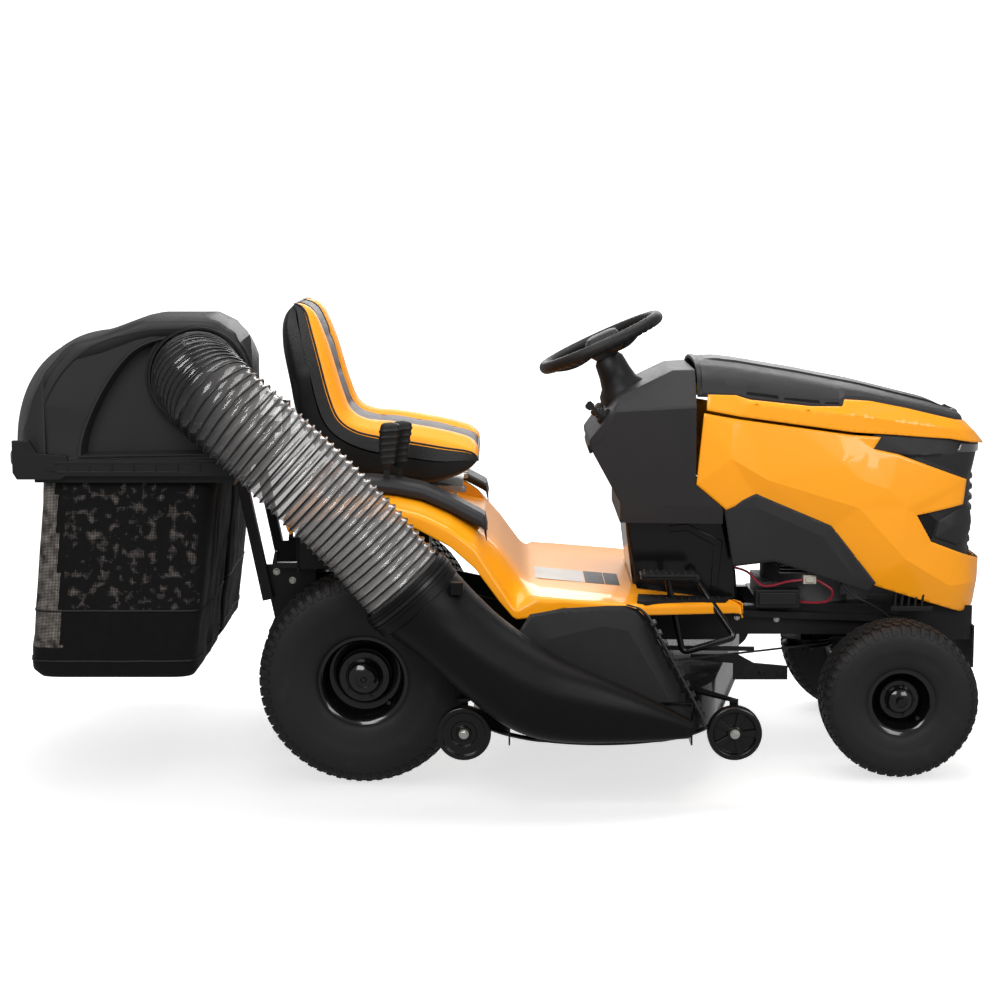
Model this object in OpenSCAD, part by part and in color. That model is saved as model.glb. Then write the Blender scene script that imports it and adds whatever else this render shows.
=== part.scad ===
// Front-engine lawn tractor with a side-discharge deck, a boot and hose on the
// right, and a rear bagger with two bags under one cover.
// +X is forward, +Y is the driver's left, +Z is up, and Z = 0 is the ground.

/* [Wheels] */
// Distance between the front and the rear axle
wheelbase = 1301; // [1290:1:1310]
// Outer diameter of a rear tyre
rear_tyre_d = 508; // [500:1:512]
// Width of a rear tyre
rear_tyre_w = 203; // [190:1:206]
// Outer diameter of a front tyre
front_tyre_d = 381; // [370:1:384]
// Width of a front tyre
front_tyre_w = 150; // [140:1:152]

/* [Deck] */
// Length of one blade, half the cutting width
blade_len = 584; // [570:1:586]
// Height of the deck rim above the ground, with the deck fully raised
rim_z = 130; // [120:1:132]
// Height of the deck shell
shell_h = 110; // [100:1:112]

/* [Steering] */
// Outer diameter of the steering wheel
wheel_d = 342; // [320:1:350]
// Lean of the steering column from the vertical
column_lean = 24.7; // [24:0.1:25.4]
// Module of the steering gears
gear_module = 3; // [3:0.5:3]

/* [Body] */
// Thickness of the steel and plastic shells
wall = 4; // [3:0.5:5]
// Half width of the hood at the dash
hood_half_w = 240; // [230:1:245]
// Half width over the fenders
fender_half_w = 430; // [420:1:434]
// Outer diameter of the flexible hose
hose_d = 218; // [210:1:222]

/* [Hidden] */
$fn = 64;
centre = [5, 70, 0];
rear_x = -328;
front_x = rear_x + wheelbase;
rear_z = rear_tyre_d / 2;
front_z = front_tyre_d / 2;
rear_face = 480;
front_face = 430;
rail_y = 150;
kingpin_y = 255;
arm_len = 90;
sector_x = 555;
pinion_x = 495;
pinion_teeth = 10;
sector_teeth = 50;
pinion_r = gear_module * pinion_teeth / 2;
sector_r = gear_module * sector_teeth / 2;
wheel_hub = [258, 0, 1036];
crank = [800, 0];
spindle_l = [355, blade_len / 2];
spindle_r = [235, -blade_len / 2];
deck_top = rim_z + shell_h;
belt_z = 262;
pulley_r = 62;
running = 0.05;
spread = 300;
hood_pin = [1185, 372];
seat_pin = [-95, 676];
cover_pin = [-594, 860];
lift_pin = [-280, -345, 570];
speed_pin = [-252, -305, 570];
boot_waist = [60, -702, 285];
gauge_seats = [[545, -610, 440, -470], [-84, -610, 10, -470], [660, 610, 560, 450], [30, 610, 150, 450]];
hose_route = [[-706, -474, 985], [-704, -504, 984], [-688, -546, 970], [-652, -580, 940],
    [-600, -596, 896], [-535, -600, 838], [-461, -601, 769], [-390, -603, 699],
    [-323, -605, 630], [-258, -607, 555], [-196, -608, 483]];
collar = [-190, -608, 476];
collar_dir = [0.66, 0, -0.75];

// ---- helpers -------------------------------------------------------------

module place() translate(centre) children();

// an outline in X and Z, extruded from y0 to y1
module side(y0, y1)
    translate([0, y1, 0]) rotate([90, 0, 0]) linear_extrude(y1 - y0) children();

// an outline in Y and Z, extruded from x0 to x1
module front(x0, x1)
    translate([x0, 0, 0]) rotate([90, 0, 90]) linear_extrude(x1 - x0) children();

// an outline in X and Y, extruded from z0 to z1
module plan(z0, z1) translate([0, 0, z0]) linear_extrude(z1 - z0) children();

module block(a, b) translate(a) cube(b - a);

module ycyl(x, z, r, y0, y1) translate([x, y0, z]) rotate([-90, 0, 0]) cylinder(h = y1 - y0, r = r);

module xcyl(y, z, r, x0, x1) translate([x0, y, z]) rotate([0, 90, 0]) cylinder(h = x1 - x0, r = r);

module zcyl(x, y, r, z0, z1) translate([x, y, z0]) cylinder(h = z1 - z0, r = r);

// a round bar from a to b
module bar(a, b, r) {
    d = b - a;
    translate(a) rotate([0, acos(d[2] / norm(d)), atan2(d[1], d[0])]) cylinder(h = norm(d), r = r);
}

// a bent round bar through the points
module bent_bar(p, r) {
    for (i = [0 : len(p) - 2]) bar(p[i], p[i + 1], r);
    for (i = [1 : len(p) - 2]) translate(p[i]) sphere(r = 1.04 * r);
}

module both_sides() {
    children();
    mirror([0, 1, 0]) children();
}

function seg_normal(a, b) = [(b - a)[1], -(b - a)[0]] / norm(b - a);

function mitre(p, i) =
    let (last = len(p) - 1,
         n1 = seg_normal(p[max(i - 1, 0)], p[max(i, 1)]),
         n2 = seg_normal(p[min(i, last - 1)], p[min(i + 1, last)]))
    (n1 + n2) / (1 + n1 * n2);

// a strip t thick along an open line of points
function strip(p, t) =
    concat(p, [for (i = [len(p) - 1 : -1 : 0]) p[i] + t * mitre(p, i)]);

// a tube wall swept along a route, as rings of n points
function ring_points(route, r, n) = [
    for (i = [0 : len(route) - 1])
        let (d = route[min(i + 1, len(route) - 1)] - route[max(i - 1, 0)],
             t = d / norm(d),
             u = cross([0, 1, 0], t) / norm(cross([0, 1, 0], t)),
             v = cross(t, u))
        for (k = [0 : n - 1]) route[i] + r * (cos(360 * k / n) * u + sin(360 * k / n) * v)];

module swept(route, r, n) {
    m = len(route);
    polyhedron(ring_points(route, r, n), concat(
        [[for (k = [0 : n - 1]) k]],
        [for (i = [0 : m - 2]) for (k = [0 : n - 1])
            [i * n + k, (i + 1) * n + k, (i + 1) * n + (k + 1) % n, i * n + (k + 1) % n]],
        [[for (k = [n - 1 : -1 : 0]) (m - 1) * n + k]]));
}

// ---- frame ---------------------------------------------------------------

module rail() {
    web = [[-560, 330], [-560, 420], [-120, 420], [60, 380], [1196, 380], [1196, 292], [1035, 292],
        [1018, 306], [600, 306], [580, 292], [40, 292], [-150, 330]];
    difference() {
        side(rail_y - 4, rail_y) polygon(web);
        ycyl(rear_x, rear_z, 30, 0, rail_y + 10);
    }
    side(rail_y - 32, rail_y - 4) polygon([[60, 376], [1150, 376], [1150, 380], [60, 380]]);
    side(rail_y - 32, rail_y - 4) polygon([[40, 292], [440, 292], [440, 296], [40, 296]]);
    side(rail_y - 32, rail_y - 4) polygon([[-560, 416], [-120, 416], [-120, 420], [-560, 420]]);
}

module frame_rails() place() color("dimgray") {
    both_sides() rail();
    // the plate that carries the steering shafts
    difference() {
        block([440, -rail_y + 4, 332], [650, rail_y - 4, 340]);
        zcyl(pinion_x, 0, 8 + running, 330, 342);
        zcyl(sector_x, 0, 12 + running, 330, 342);
    }
    // engine plate, open around the crankshaft
    difference() {
        block([655, -rail_y + 4, 380], [1150, rail_y - 4, 384]);
        zcyl(crank[0], 0, 80, 370, 390);
    }
    // crossmembers behind the deck
    block([150, -rail_y + 4, 340], [190, rail_y - 4, 376]);
    block([-150, -rail_y + 4, 340], [-110, rail_y - 4, 376]);
    // two plates with the pin that the front axle rocks on
    for (x = [front_x - 36, front_x + 30])
        front(x, x + 6) polygon([[-146, 376], [146, 376], [146, 330], [40, 240], [-40, 240], [-146, 330]]);
    xcyl(0, 262, 10, front_x - 30, front_x + 30);
    // front plate with four bolt holes
    difference() {
        block([1196, -160, 222], [1201, 160, 330]);
        for (y = [-120, 120], z = [250, 300]) xcyl(y, z, 5.5, 1190, 1210);
    }
    // hinge ears of the hood
    both_sides() difference() {
        side(90, 96) polygon([[1110, 384], [1150, 384], [1172, 390], [1194, 388], [1197, 372],
            [1196, 340], [1196, 325], [1190, 325], [1160, 350], [1110, 370]]);
        ycyl(hood_pin[0], hood_pin[1], 6 + running, 80, 100);
    }
}

module hitch_plate() place() color("dimgray") {
    difference() {
        block([-592, -100, 300], [-452, 100, 306]);
        zcyl(-566, 0, 9.5, 290, 310);
    }
    both_sides() side(100, 106) polygon([[-592, 300], [-452, 300], [-452, 380], [-560, 380]]);
}

module transaxle() place() color("gray") {
    difference() {
        union() {
            block([rear_x - 75, -130, rear_z - 62], [rear_x + 120, 130, rear_z + 62]);
            both_sides() ycyl(rear_x, rear_z, 28, 130, 262);
            zcyl(rear_x + 80, 0, 52, rear_z + 62, rear_z + 80);
        }
        both_sides() ycyl(rear_x, rear_z, 13 + running, 60, 270);
    }
}

// ---- engine --------------------------------------------------------------

module engine_block() place() color("silver") difference() {
    union() {
        zcyl(crank[0], 0, 125, 384, 540);
        block([crank[0], -105, 400], [1010, 105, 540]);
        block([660, -90, 384], [940, 90, 430]);
    }
    zcyl(crank[0], 0, 16 + running, 380, 500);
}

module engine_shroud() place() color("black") {
    difference() {
        union() {
            zcyl(crank[0], 0, 165, 540.3, 700);
            block([crank[0], -150, 540.3], [1040, 150, 690]);
        }
        zcyl(crank[0], 0, 160, 500, 694);
        block([crank[0], -145, 530], [1035, 145, 684]);
        zcyl(crank[0], 0, 70, 690, 705);
    }
    zcyl(crank[0], 0, 72, 700, 716);
}

module muffler() place() color("darkgray") {
    ycyl(1090, 450, 55, -130, 130);
    bar([1014, -60, 460], [1060, -60, 452], 16);
}

module fuel_tank() place() color("black") {
    block([-430, -118, 450], [-180, 118, 600]);
    zcyl(-390, 0, 32, 600, 625);
}

// ---- dash and hood -------------------------------------------------------

dash_line = [[299, 600], [299, 650], [221, 784], [221, 804], [302, 914], [431, 978], [484, 978]];

// a point on the dash's rear face, with +Z standing out of it
module dash_face(y) translate([262, y, 859]) rotate([0, -53.6, 0]) children();

module dash_panel() place() color("dimgray") difference() {
    side(-225, 225) polygon(concat([[480, 600]], dash_line, [[492, 880], [480, 700]]));
    side(-225 + wall, 225 - wall) polygon([[560, 560], [303, 560], [303, 651], [225, 786], [225, 802],
        [305, 910], [432, 974], [560, 974]]);
    // the way for the steering column
    translate(wheel_hub) rotate([0, 180 - column_lean, 0]) cylinder(h = 400, r = 61);
    // holes for the key and the blade knob, and the throttle's slot
    dash_face(-150) cylinder(h = 60, r = 9.3, center = true);
    dash_face(-90) cylinder(h = 60, r = 8.3, center = true);
    dash_face(60) cube([60, 8, 60], center = true);
}

module column_boot() place() color("black")
    translate(wheel_hub) rotate([0, 180 - column_lean, 0]) difference() {
        union() {
            translate([0, 0, 40]) cylinder(h = 60, r = 30);
            translate([0, 0, 95]) cylinder(h = 50, r1 = 36, r2 = 60);
        }
        translate([0, 0, 30]) cylinder(h = 130, r = 12 + running);
    }

module pedestal() place() color("black") difference() {
    side(-170, 170) polygon([[311, 599.7], [340, 402], [470, 385], [600, 385], [575, 500], [562, 599.7]]);
    side(-166, 166) polygon([[315, 610], [344, 380], [640, 360], [640, 610]]);
}

module lower_panels() place() color("dimgray") both_sides() {
    side(231, 235) polygon([[565, 618], [579, 493], [683, 490], [921, 430], [821, 570], [634, 650]]);
    block([570, 170.3, 392], [600, 231, 396]);
    side(228, 231) polygon([[570, 392], [600, 392], [600, 500], [579, 500]]);
}

// the outer form of the hood, drawn in by t; the bottom and the rear stay open when t > 0
module hood_form(t) {
    drop = t > 0 ? 200 : 0;
    back = t > 0 ? 60 : 0;
    intersection() {
        side(-300, 300) polygon([[506 - back, 883], [491 - back, 992 - t], [512, 998 - t], [753, 966 - t],
            [1085, 888 - t], [1203 - t, 830 - t], [1224 - t, 795], [1226 - t, 491], [1238 - t, 388],
            [1238 - t, 377 - drop], [927, 448 - drop], [821, 588 - drop], [634, 668 - drop],
            [561 - back, 636 - drop], [486 - back, 700]]);
        plan(100, 1100) polygon(concat(
            [[400, -hood_half_w + t], [980, -hood_half_w + t]],
            [for (a = [-60 : 12 : 60]) [1010 + (228 - t) * cos(a), (232 - t) * sin(a)]],
            [[980, hood_half_w - t], [400, hood_half_w - t]]));
        front(400, 1300) polygon([[-hood_half_w + t, 50], [-hood_half_w + t, 880], [-218 + t, 940],
            [-165 + t, 985 - t], [-80, 998 - t], [80, 998 - t], [165 - t, 985 - t], [218 - t, 940],
            [hood_half_w - t, 880], [hood_half_w - t, 50]]);
    }
}

module hood_shell() difference() {
    hood_form(0);
    hood_form(wall);
}

module crown_zone() side(-300, 300) polygon([[400, 925], [514, 922], [855, 903], [1000, 860], [1137, 800],
    [1300, 800], [1300, 1200], [400, 1200]]);

module nose_zone() side(-300, 300) polygon([[925, 809], [1137, 765], [1166, 700], [1035, 626], [1175, 520],
    [1300, 520], [1300, 800], [1137, 800], [1000, 860], [960, 872]]);

module hood_body() place() color("orange") {
    difference() {
        hood_shell();
        crown_zone();
        nose_zone();
    }
    // hinge arms that turn on pins in the frame's ears
    both_sides() {
        side(98, 104) polygon([[1172, 362], [1195, 362], [1208, 380], [1212, 440], [1200, 440], [1180, 392],
            [1172, 384]]);
        ycyl(hood_pin[0], hood_pin[1], 6, 86, 104);
    }
}

module hood_top() place() color("dimgray") intersection() {
    hood_shell();
    crown_zone();
}

module grille() place() color("black") intersection() {
    hood_shell();
    difference() {
        nose_zone();
        crown_zone();
    }
}

// ---- fender and controls -------------------------------------------------

board_line = [[72, 460], [333, 438], [565, 409], [565, 376]];
high_line = concat([[-504, 572], [-518, 640], [-470, 690], [-314, 708], [-191, 692], [-60, 630],
    [36, 507]], board_line);
low_line = [[-504, 572], [-518, 640], [-470, 640], [-314, 645], [-191, 632], [-40, 600], [36, 507],
    [72, 460], [150, 448]];
skirt = [[-518, 640], [-470, 690], [-314, 708], [-191, 692], [-60, 630], [36, 507], [72, 460], [333, 438],
    [565, 409], [563, 390], [60, 425], [0, 480], [-90, 585], [-200, 640], [-320, 652], [-460, 632],
    [-504, 572]];
shelf = [[-470, 690], [-314, 708], [-191, 692], [-60, 630], [36, 507], [-40, 600], [-191, 632],
    [-314, 645], [-470, 640]];

module lever_slots() {
    block([-330, -352, 600], [-160, -338, 760]);
    block([-310, -312, 600], [-150, -298, 760]);
}

module fender() place() color("orange") {
    difference() {
        union() {
            both_sides() side(225, fender_half_w) polygon(strip(high_line, wall));
            both_sides() side(172, 225 + wall) polygon(strip(board_line, wall));
            both_sides() side(fender_half_w - wall, fender_half_w) polygon(skirt);
            both_sides() side(225, 225 + wall) polygon(shelf);
        }
        lever_slots();
        both_sides() plan(300, 500)
            polygon([[315, 450], [315, 440], [600, 217], [640, 217], [640, 450]]);
        // opening for the pedal rod
        plan(350, 470) polygon([[340, -345], [410, -345], [440, -440], [640, -440], [640, -222],
            [450, -222], [440, -195], [340, -195]]);
    }
    both_sides() side(212, 216)
        polygon([[90, 456], [333, 435], [555, 407], [555, 385], [333, 410], [200, 425], [90, 440]]);
    side(-225 - wall, 225 + wall) polygon(strip(low_line, wall));
    // feet on the frame rails and ears of the seat pivot
    both_sides() block([-480, 120, 420.3], [-440, 145, 638]);
    both_sides() block([170, 152, 376], [200, 224, 380]);
    both_sides() block([170, 219, 376], [200, 224, 448]);
    both_sides() difference() {
        side(150, 156) polygon([[-120, 605], [-70, 600], [-80, 684], [-110, 684]]);
        ycyl(seat_pin[0], seat_pin[1], 6 + running, 140, 160);
    }
}

module fender_trim() place() color("dimgray") difference() {
    both_sides() side(240, 372) polygon(strip([[-44, 642], [-185, 711], [-312, 728], [-420, 720]], -18));
    lever_slots();
    both_sides() side(220, 380)
        polygon(concat([[-600, 500]], [for (p = high_line) p + [0, 0.3]], [[565, 300]]));
}

// a lever in a fender slot: rod, grip and pivot eye
module fender_lever(pin, lean) {
    translate(pin) rotate([0, lean, 0]) {
        bar([0, 0, 0], [0, 0, 190], 5);
        translate([0, 0, 185]) cylinder(h = 60, r1 = 11, r2 = 14);
        translate([0, 0, 245]) cylinder(h = 45, r1 = 14, r2 = 12);
    }
    ycyl(pin[0], pin[2], 11, pin[1] - 6, pin[1] + 6);
}

module lift_lever() place() color("black") fender_lever(lift_pin, 2);

module speed_lever() place() color("black") fender_lever(speed_pin, 2);

module ignition_key() place() color("silver") dash_face(-150) {
    translate([0, 0, -10]) cylinder(h = 34, r = 9);
    translate([-9, -2, 24]) cube([18, 4, 24]);
}

module throttle_lever() place() color("black") dash_face(60) {
    translate([-13, -3, -8]) cube([10, 6, 32]);
    translate([-17, -13, 22]) cube([18, 26, 14]);
}

module pto_knob() place() color("gold") dash_face(-90) {
    translate([0, 0, -10]) cylinder(h = 24, r = 8);
    translate([0, 0, 8]) cylinder(h = 22, r = 17);
}

module drive_pedal() place() color("black") {
    ycyl(484, 465, 9, -238, -172);
    bent_bar([[484, -230, 465], [580, -306, 330], [450, -306, 291], [410, -306, 478]], 8);
    block([345, -340, 478], [480, -276, 486]);
}

// ---- steering ------------------------------------------------------------

module steering_wheel() place() color("black") translate(wheel_hub) rotate([0, -column_lean, 0]) {
    rotate_extrude() translate([wheel_d / 2 - 14, 0]) circle(r = 14);
    for (a = [180, 300, 60]) rotate([0, 0, a]) difference() {
        translate([20, -17, -24]) cube([wheel_d / 2 - 30, 34, 14]);
        translate([60, -8, -30]) cube([50, 16, 30]);
    }
    for (a = [180, 300, 60]) rotate([0, 0, a]) translate([wheel_d / 2 - 30, -17, -24]) cube([12, 34, 22]);
    translate([0, 0, -34]) cylinder(h = 34, r = 38);
}

module steering_shaft() place() color("silver") translate(wheel_hub) rotate([0, -column_lean, 0]) {
    translate([0, 0, -545]) cylinder(h = 511, r = 12);
    translate([0, 0, -560]) cylinder(h = 15, r = 20);
}

module pinion_shaft() place() color("silver") {
    zcyl(pinion_x, 0, 8, 306, 490);
    zcyl(pinion_x, 0, 20, 484, 496);
    zcyl(pinion_x, 0, 18, 341, 352);
    zcyl(pinion_x, 0, 11.3, 308, 324);
    for (k = [0 : pinion_teeth - 1]) translate([pinion_x, 0, 308]) rotate([0, 0, 180 + 36 * k])
        linear_extrude(14) polygon([[10, -2.6], [pinion_r, -2], [17.2, -1.1], [17.2, 1.1], [pinion_r, 2],
            [10, 2.6]]);
}

module wedge(r, half) polygon([[0, 0], [-r * cos(half), r * sin(half)], [-r, r * tan(half / 2)],
    [-r, -r * tan(half / 2)], [-r * cos(half), -r * sin(half)]]);

module sector_gear() place() color("gray") translate([sector_x, 0, 0]) {
    difference() {
        plan(310, 318) difference() {
            union() {
                intersection() {
                    circle(r = 96);
                    wedge(130, 62);
                }
                circle(r = 38);
            }
            intersection() {
                difference() {
                    circle(r = 79);
                    circle(r = 40);
                }
                wedge(110, 52);
            }
        }
        zcyl(0, 0, 11.9, 300, 325);
    }
    for (k = [-6 : 6]) rotate([0, 0, 180 + 3.6 + 7.2 * k]) plan(310, 318)
        polygon([[80, -2.6], [sector_r, -2], [72.6, -1.1], [72.6, 1.1], [sector_r, 2], [80, 2.6]]);
    zcyl(0, 0, 12, 284, 352);
    zcyl(0, 0, 20, 286, 300);
    plan(286, 292) difference() {
        union() {
            translate([-arm_len, -12]) square([arm_len, 24]);
            translate([-arm_len, 0]) circle(r = 12);
        }
        translate([-arm_len, 0]) circle(r = 6 + running);
    }
}

module front_axle() place() color("black") difference() {
    union() {
        block([front_x - 22, -kingpin_y, 244], [front_x + 22, kingpin_y, 280]);
        xcyl(0, 262, 26, front_x - 28, front_x + 28);
        both_sides() zcyl(front_x, kingpin_y, 22, 240, 282);
    }
    xcyl(0, 262, 10 + running, front_x - 40, front_x + 40);
    both_sides() zcyl(front_x, kingpin_y, 10 + running, 230, 290);
}

// the right-hand knuckle; the stub axle points to the right
module knuckle() {
    zcyl(front_x, -kingpin_y, 10, 200, 292);
    zcyl(front_x, -kingpin_y, 19, 172, 238);
    zcyl(front_x, -kingpin_y, 16, 284, 292);
    ycyl(front_x, front_z, 9.5, -front_face + 12, -kingpin_y);
    plan(212, 220) difference() {
        union() {
            translate([front_x - arm_len, -kingpin_y - 12]) square([arm_len, 24]);
            translate([front_x - arm_len, -kingpin_y]) circle(r = 12);
        }
        translate([front_x - arm_len, -kingpin_y]) circle(r = 6 + running);
    }
}

module knuckle_right() place() color("black") knuckle();

module knuckle_left() place() color("black") {
    mirror([0, 1, 0]) knuckle();
    // upper arm for the drag link
    plan(284, 290) difference() {
        union() {
            translate([front_x - arm_len, kingpin_y - 12]) square([arm_len, 24]);
            translate([front_x - arm_len, kingpin_y]) circle(r = 12);
        }
        translate([front_x - arm_len, kingpin_y]) circle(r = 6 + running);
    }
}

module tie_rod() place() color("gray") {
    bar([front_x - arm_len, -kingpin_y, 203], [front_x - arm_len, kingpin_y, 203], 6);
    both_sides() zcyl(front_x - arm_len, kingpin_y, 6, 196, 226);
    both_sides() zcyl(front_x - arm_len, kingpin_y, 10, 196, 211);
}

module drag_link() place() color("gray") {
    bar([sector_x - arm_len, 0, 278], [front_x - arm_len, kingpin_y, 278], 5);
    zcyl(front_x - arm_len, kingpin_y, 6, 272, 296);
    zcyl(front_x - arm_len, kingpin_y, 10, 272, 283);
    zcyl(sector_x - arm_len, 0, 3, 272, 293);
    zcyl(sector_x - arm_len, 0, 9, 272, 282.5);
}

// ---- wheels --------------------------------------------------------------

// a hollow tyre standing across Y, centred on its own axle
module tyre(d, w, bead_r) rotate([90, 0, 0]) rotate_extrude($fn = 96) polygon([
    [bead_r, -w * 0.34], [bead_r + 10, -w * 0.36], [bead_r + 24, -w * 0.46], [d * 0.36, -w / 2],
    [d / 2 - 34, -w / 2 + 3],
    [d / 2 - 12, -w / 2 + 14], [d / 2 - 2, -w * 0.30], [d / 2, 0],
    [d / 2 - 2, w * 0.30], [d / 2 - 12, w / 2 - 14], [d / 2 - 34, w / 2 - 3],
    [d * 0.36, w / 2], [bead_r + 24, w * 0.46], [bead_r + 10, w * 0.36], [bead_r, w * 0.34],
    [bead_r, w * 0.28], [bead_r + 16, w * 0.33], [d * 0.36, w / 2 - 9], [d / 2 - 30, w / 2 - 16],
    [d / 2 - 14, 0],
    [d / 2 - 30, -w / 2 + 16], [d * 0.36, -w / 2 + 9], [bead_r + 16, -w * 0.33],
    [bead_r, -w * 0.28]]);

// a pressed rim; the dish opens towards -Y
module rim(bead_r, w, hub_r, bore_r, dish) rotate([90, 0, 0]) difference() {
    union() {
        rotate_extrude() polygon([[bead_r - 0.3, -w * 0.35], [bead_r + 8, -w * 0.375],
            [bead_r + 8, -w * 0.395], [bead_r - 5, -w * 0.37], [bead_r - 14, -w * 0.2],
            [bead_r - 14, w * 0.2], [bead_r - 5, w * 0.37], [bead_r + 8, w * 0.395],
            [bead_r + 8, w * 0.375], [bead_r - 0.3, w * 0.35], [bead_r - 10, w * 0.2],
            [bead_r - 10, -w * 0.2]]);
        translate([0, 0, dish]) cylinder(h = 4, r = bead_r - 11);
        translate([0, 0, dish - 30]) cylinder(h = 64, r = hub_r);
    }
    translate([0, 0, -200]) cylinder(h = 400, r = bore_r);
    for (a = [36 : 72 : 324]) rotate([0, 0, a])
        translate([bead_r * 0.58, 0, dish - 2]) cylinder(h = 10, r = 7);
}

module rear_wheel_seat() translate([rear_x, -rear_face + rear_tyre_w / 2, rear_z]) children();

module front_wheel_seat() translate([front_x, -front_face + front_tyre_w / 2, front_z]) children();

module rear_rim() {
    rear_wheel_seat() rim(102, rear_tyre_w, 34, 12, 10);
    // the half shaft turns in the transaxle
    ycyl(rear_x, rear_z, 13, -rear_face + 60, -70);
}

module front_rim() front_wheel_seat() rim(77, front_tyre_w, 24, 9.5 + running, 4);

module rear_tyre_right() place() color("black") rear_wheel_seat() tyre(rear_tyre_d, rear_tyre_w, 102);

module rear_tyre_left() place() color("black") mirror([0, 1, 0]) rear_wheel_seat()
    tyre(rear_tyre_d, rear_tyre_w, 102);

module rear_rim_right() place() color("black") rear_rim();

module rear_rim_left() place() color("black") mirror([0, 1, 0]) rear_rim();

module front_tyre_right() place() color("black") front_wheel_seat() tyre(front_tyre_d, front_tyre_w, 77);

module front_tyre_left() place() color("black") mirror([0, 1, 0]) front_wheel_seat()
    tyre(front_tyre_d, front_tyre_w, 77);

module front_rim_right() place() color("black") front_rim();

module front_rim_left() place() color("black") mirror([0, 1, 0]) front_rim();

// ---- deck ----------------------------------------------------------------

// the deck's plan: two blade circles, drawn in by t, and the band between them
module deck_plan(t) {
    r = spread - t;
    d = (spindle_l - spindle_r) / norm(spindle_l - spindle_r);
    n = [d[1], -d[0]];
    translate(spindle_l) circle(r = r, $fn = 96);
    translate(spindle_r) circle(r = r, $fn = 96);
    polygon([spindle_r + r * n, spindle_l + r * n, spindle_l - r * n, spindle_r - r * n]);
}

module deck_shell() place() color("dimgray") {
    difference() {
        plan(rim_z, deck_top) deck_plan(0);
        plan(rim_z - 1, deck_top - wall) deck_plan(wall);
        for (s = [spindle_l, spindle_r]) zcyl(s[0], s[1], 26, deck_top - 10, deck_top + 1);
        // discharge on the right
        block([24, -620, rim_z + 8], [446, -495, deck_top - 8]);
    }
    // spout around the discharge
    difference() {
        block([20, -607, rim_z + 4], [450, -500, deck_top - 4]);
        block([24, -610, rim_z], [446, -490, deck_top - 8]);
        plan(rim_z - 1, deck_top - wall) deck_plan(wall);
    }
    for (s = [spindle_l, spindle_r]) translate([s[0], s[1], 0]) difference() {
        union() {
            zcyl(0, 0, 45, deck_top, deck_top + 5);
            zcyl(0, 0, 25.7, 170, deck_top + 8);
        }
        zcyl(0, 0, 12 + running, 160, deck_top + 10);
    }
    // gauge wheel brackets, welded to the deck top
    for (g = gauge_seats) {
        out = g[1] > 0 ? 1 : -1;
        block([g[0] - 10, min(g[1], g[1] - out * 6), 162], [g[0] + 10, max(g[1], g[1] - out * 6), 245]);
        plan(deck_top - 0.5, deck_top + 5) polygon([[g[0] - 10, g[1]], [g[0] + 10, g[1]], [g[2] + 25, g[3]],
            [g[2] - 25, g[3]]]);
        ycyl(g[0], 170, 6, min(g[1], g[1] + out * 36), max(g[1], g[1] + out * 36));
    }
    // hinge eyes of the deflector
    for (x = [30, 420]) difference() {
        block([x, -604, deck_top - 8], [x + 12, -588, 259]);
        xcyl(-596, 254, 4 + running, x - 2, x + 14);
    }
}

// the boot's inner form is the outer form drawn in by t
module boot_form(t) {
    turn = [0, 180 - atan2(collar_dir[0], -collar_dir[2]), 0];
    hull() {
        translate(collar) rotate(turn) translate([0, 0, -t]) cylinder(h = 6 + 2 * t, r = 112 - t, $fn = 32);
        translate(boot_waist) rotate([0, 125, 0]) cylinder(h = 6, r = 92 - t, $fn = 32);
    }
    hull() {
        translate(boot_waist) rotate([0, 125, 0]) cylinder(h = 6, r = 92 - t, $fn = 32);
        block([20 + t, -700 + t, rim_z + 12 + t], [450 - t, -608 + t, deck_top - 12 - t]);
    }
}

module chute_boot() place() color("dimgray") difference() {
    boot_form(0);
    boot_form(wall);
}

module deflector() place() color("dimgray") {
    translate([0, -594, 254]) rotate([-10, 0, 0]) side(-2, 3) polygon([[44, 8], [455, 8], [345, 190],
        [300, 204], [64, 198], [44, 180]]);
    for (x = [56, 390]) block([x, -600, 250], [x + 14, -588, 264]);
    xcyl(-596, 254, 4, 26, 436);
}

module spindle(s) {
    zcyl(s[0], s[1], 12, 158, 280);
    difference() {
        zcyl(s[0], s[1], pulley_r, 252, 272);
        translate([s[0], s[1], belt_z]) rotate_extrude() polygon([[pulley_r + 1, -7], [pulley_r - 9, -4],
            [pulley_r - 9, 4], [pulley_r + 1, 7]]);
    }
}

module spindle_right() place() color("gray") spindle(spindle_r);

module spindle_left() place() color("gray") spindle(spindle_l);

module blade(s, a) translate([s[0], s[1], 152]) rotate([0, 0, a]) {
    translate([-blade_len / 2, -30, 0]) cube([blade_len, 60, 5]);
    for (k = [0, 180]) rotate([0, 0, k]) translate([blade_len / 2 - 130, 20, 4]) rotate([25, 0, 0])
        cube([110, 26, 4]);
    cylinder(h = 6, r = 16);
    translate([0, 0, -10]) cylinder(h = 10, r = 13, $fn = 6);
}

module blade_right() place() color("silver") blade(spindle_r, 35);

module blade_left() place() color("silver") blade(spindle_l, -20);

module gauge_wheel(x, y, out) difference() {
    ycyl(x, 170, 63.5, min(y, y + out * 34), max(y, y + out * 34));
    ycyl(x, 170, 6 + running, y - 50, y + 50);
    ycyl(x, 170, 50, min(y + out * 28, y + out * 40), max(y + out * 28, y + out * 40));
}

module gauge_wheel_front_right() place() color("black") gauge_wheel(545, -611, -1);

module gauge_wheel_rear_right() place() color("black") gauge_wheel(-84, -611, -1);

module gauge_wheel_front_left() place() color("black") gauge_wheel(660, 611, 1);

module gauge_wheel_rear_left() place() color("black") gauge_wheel(30, 611, 1);

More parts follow.
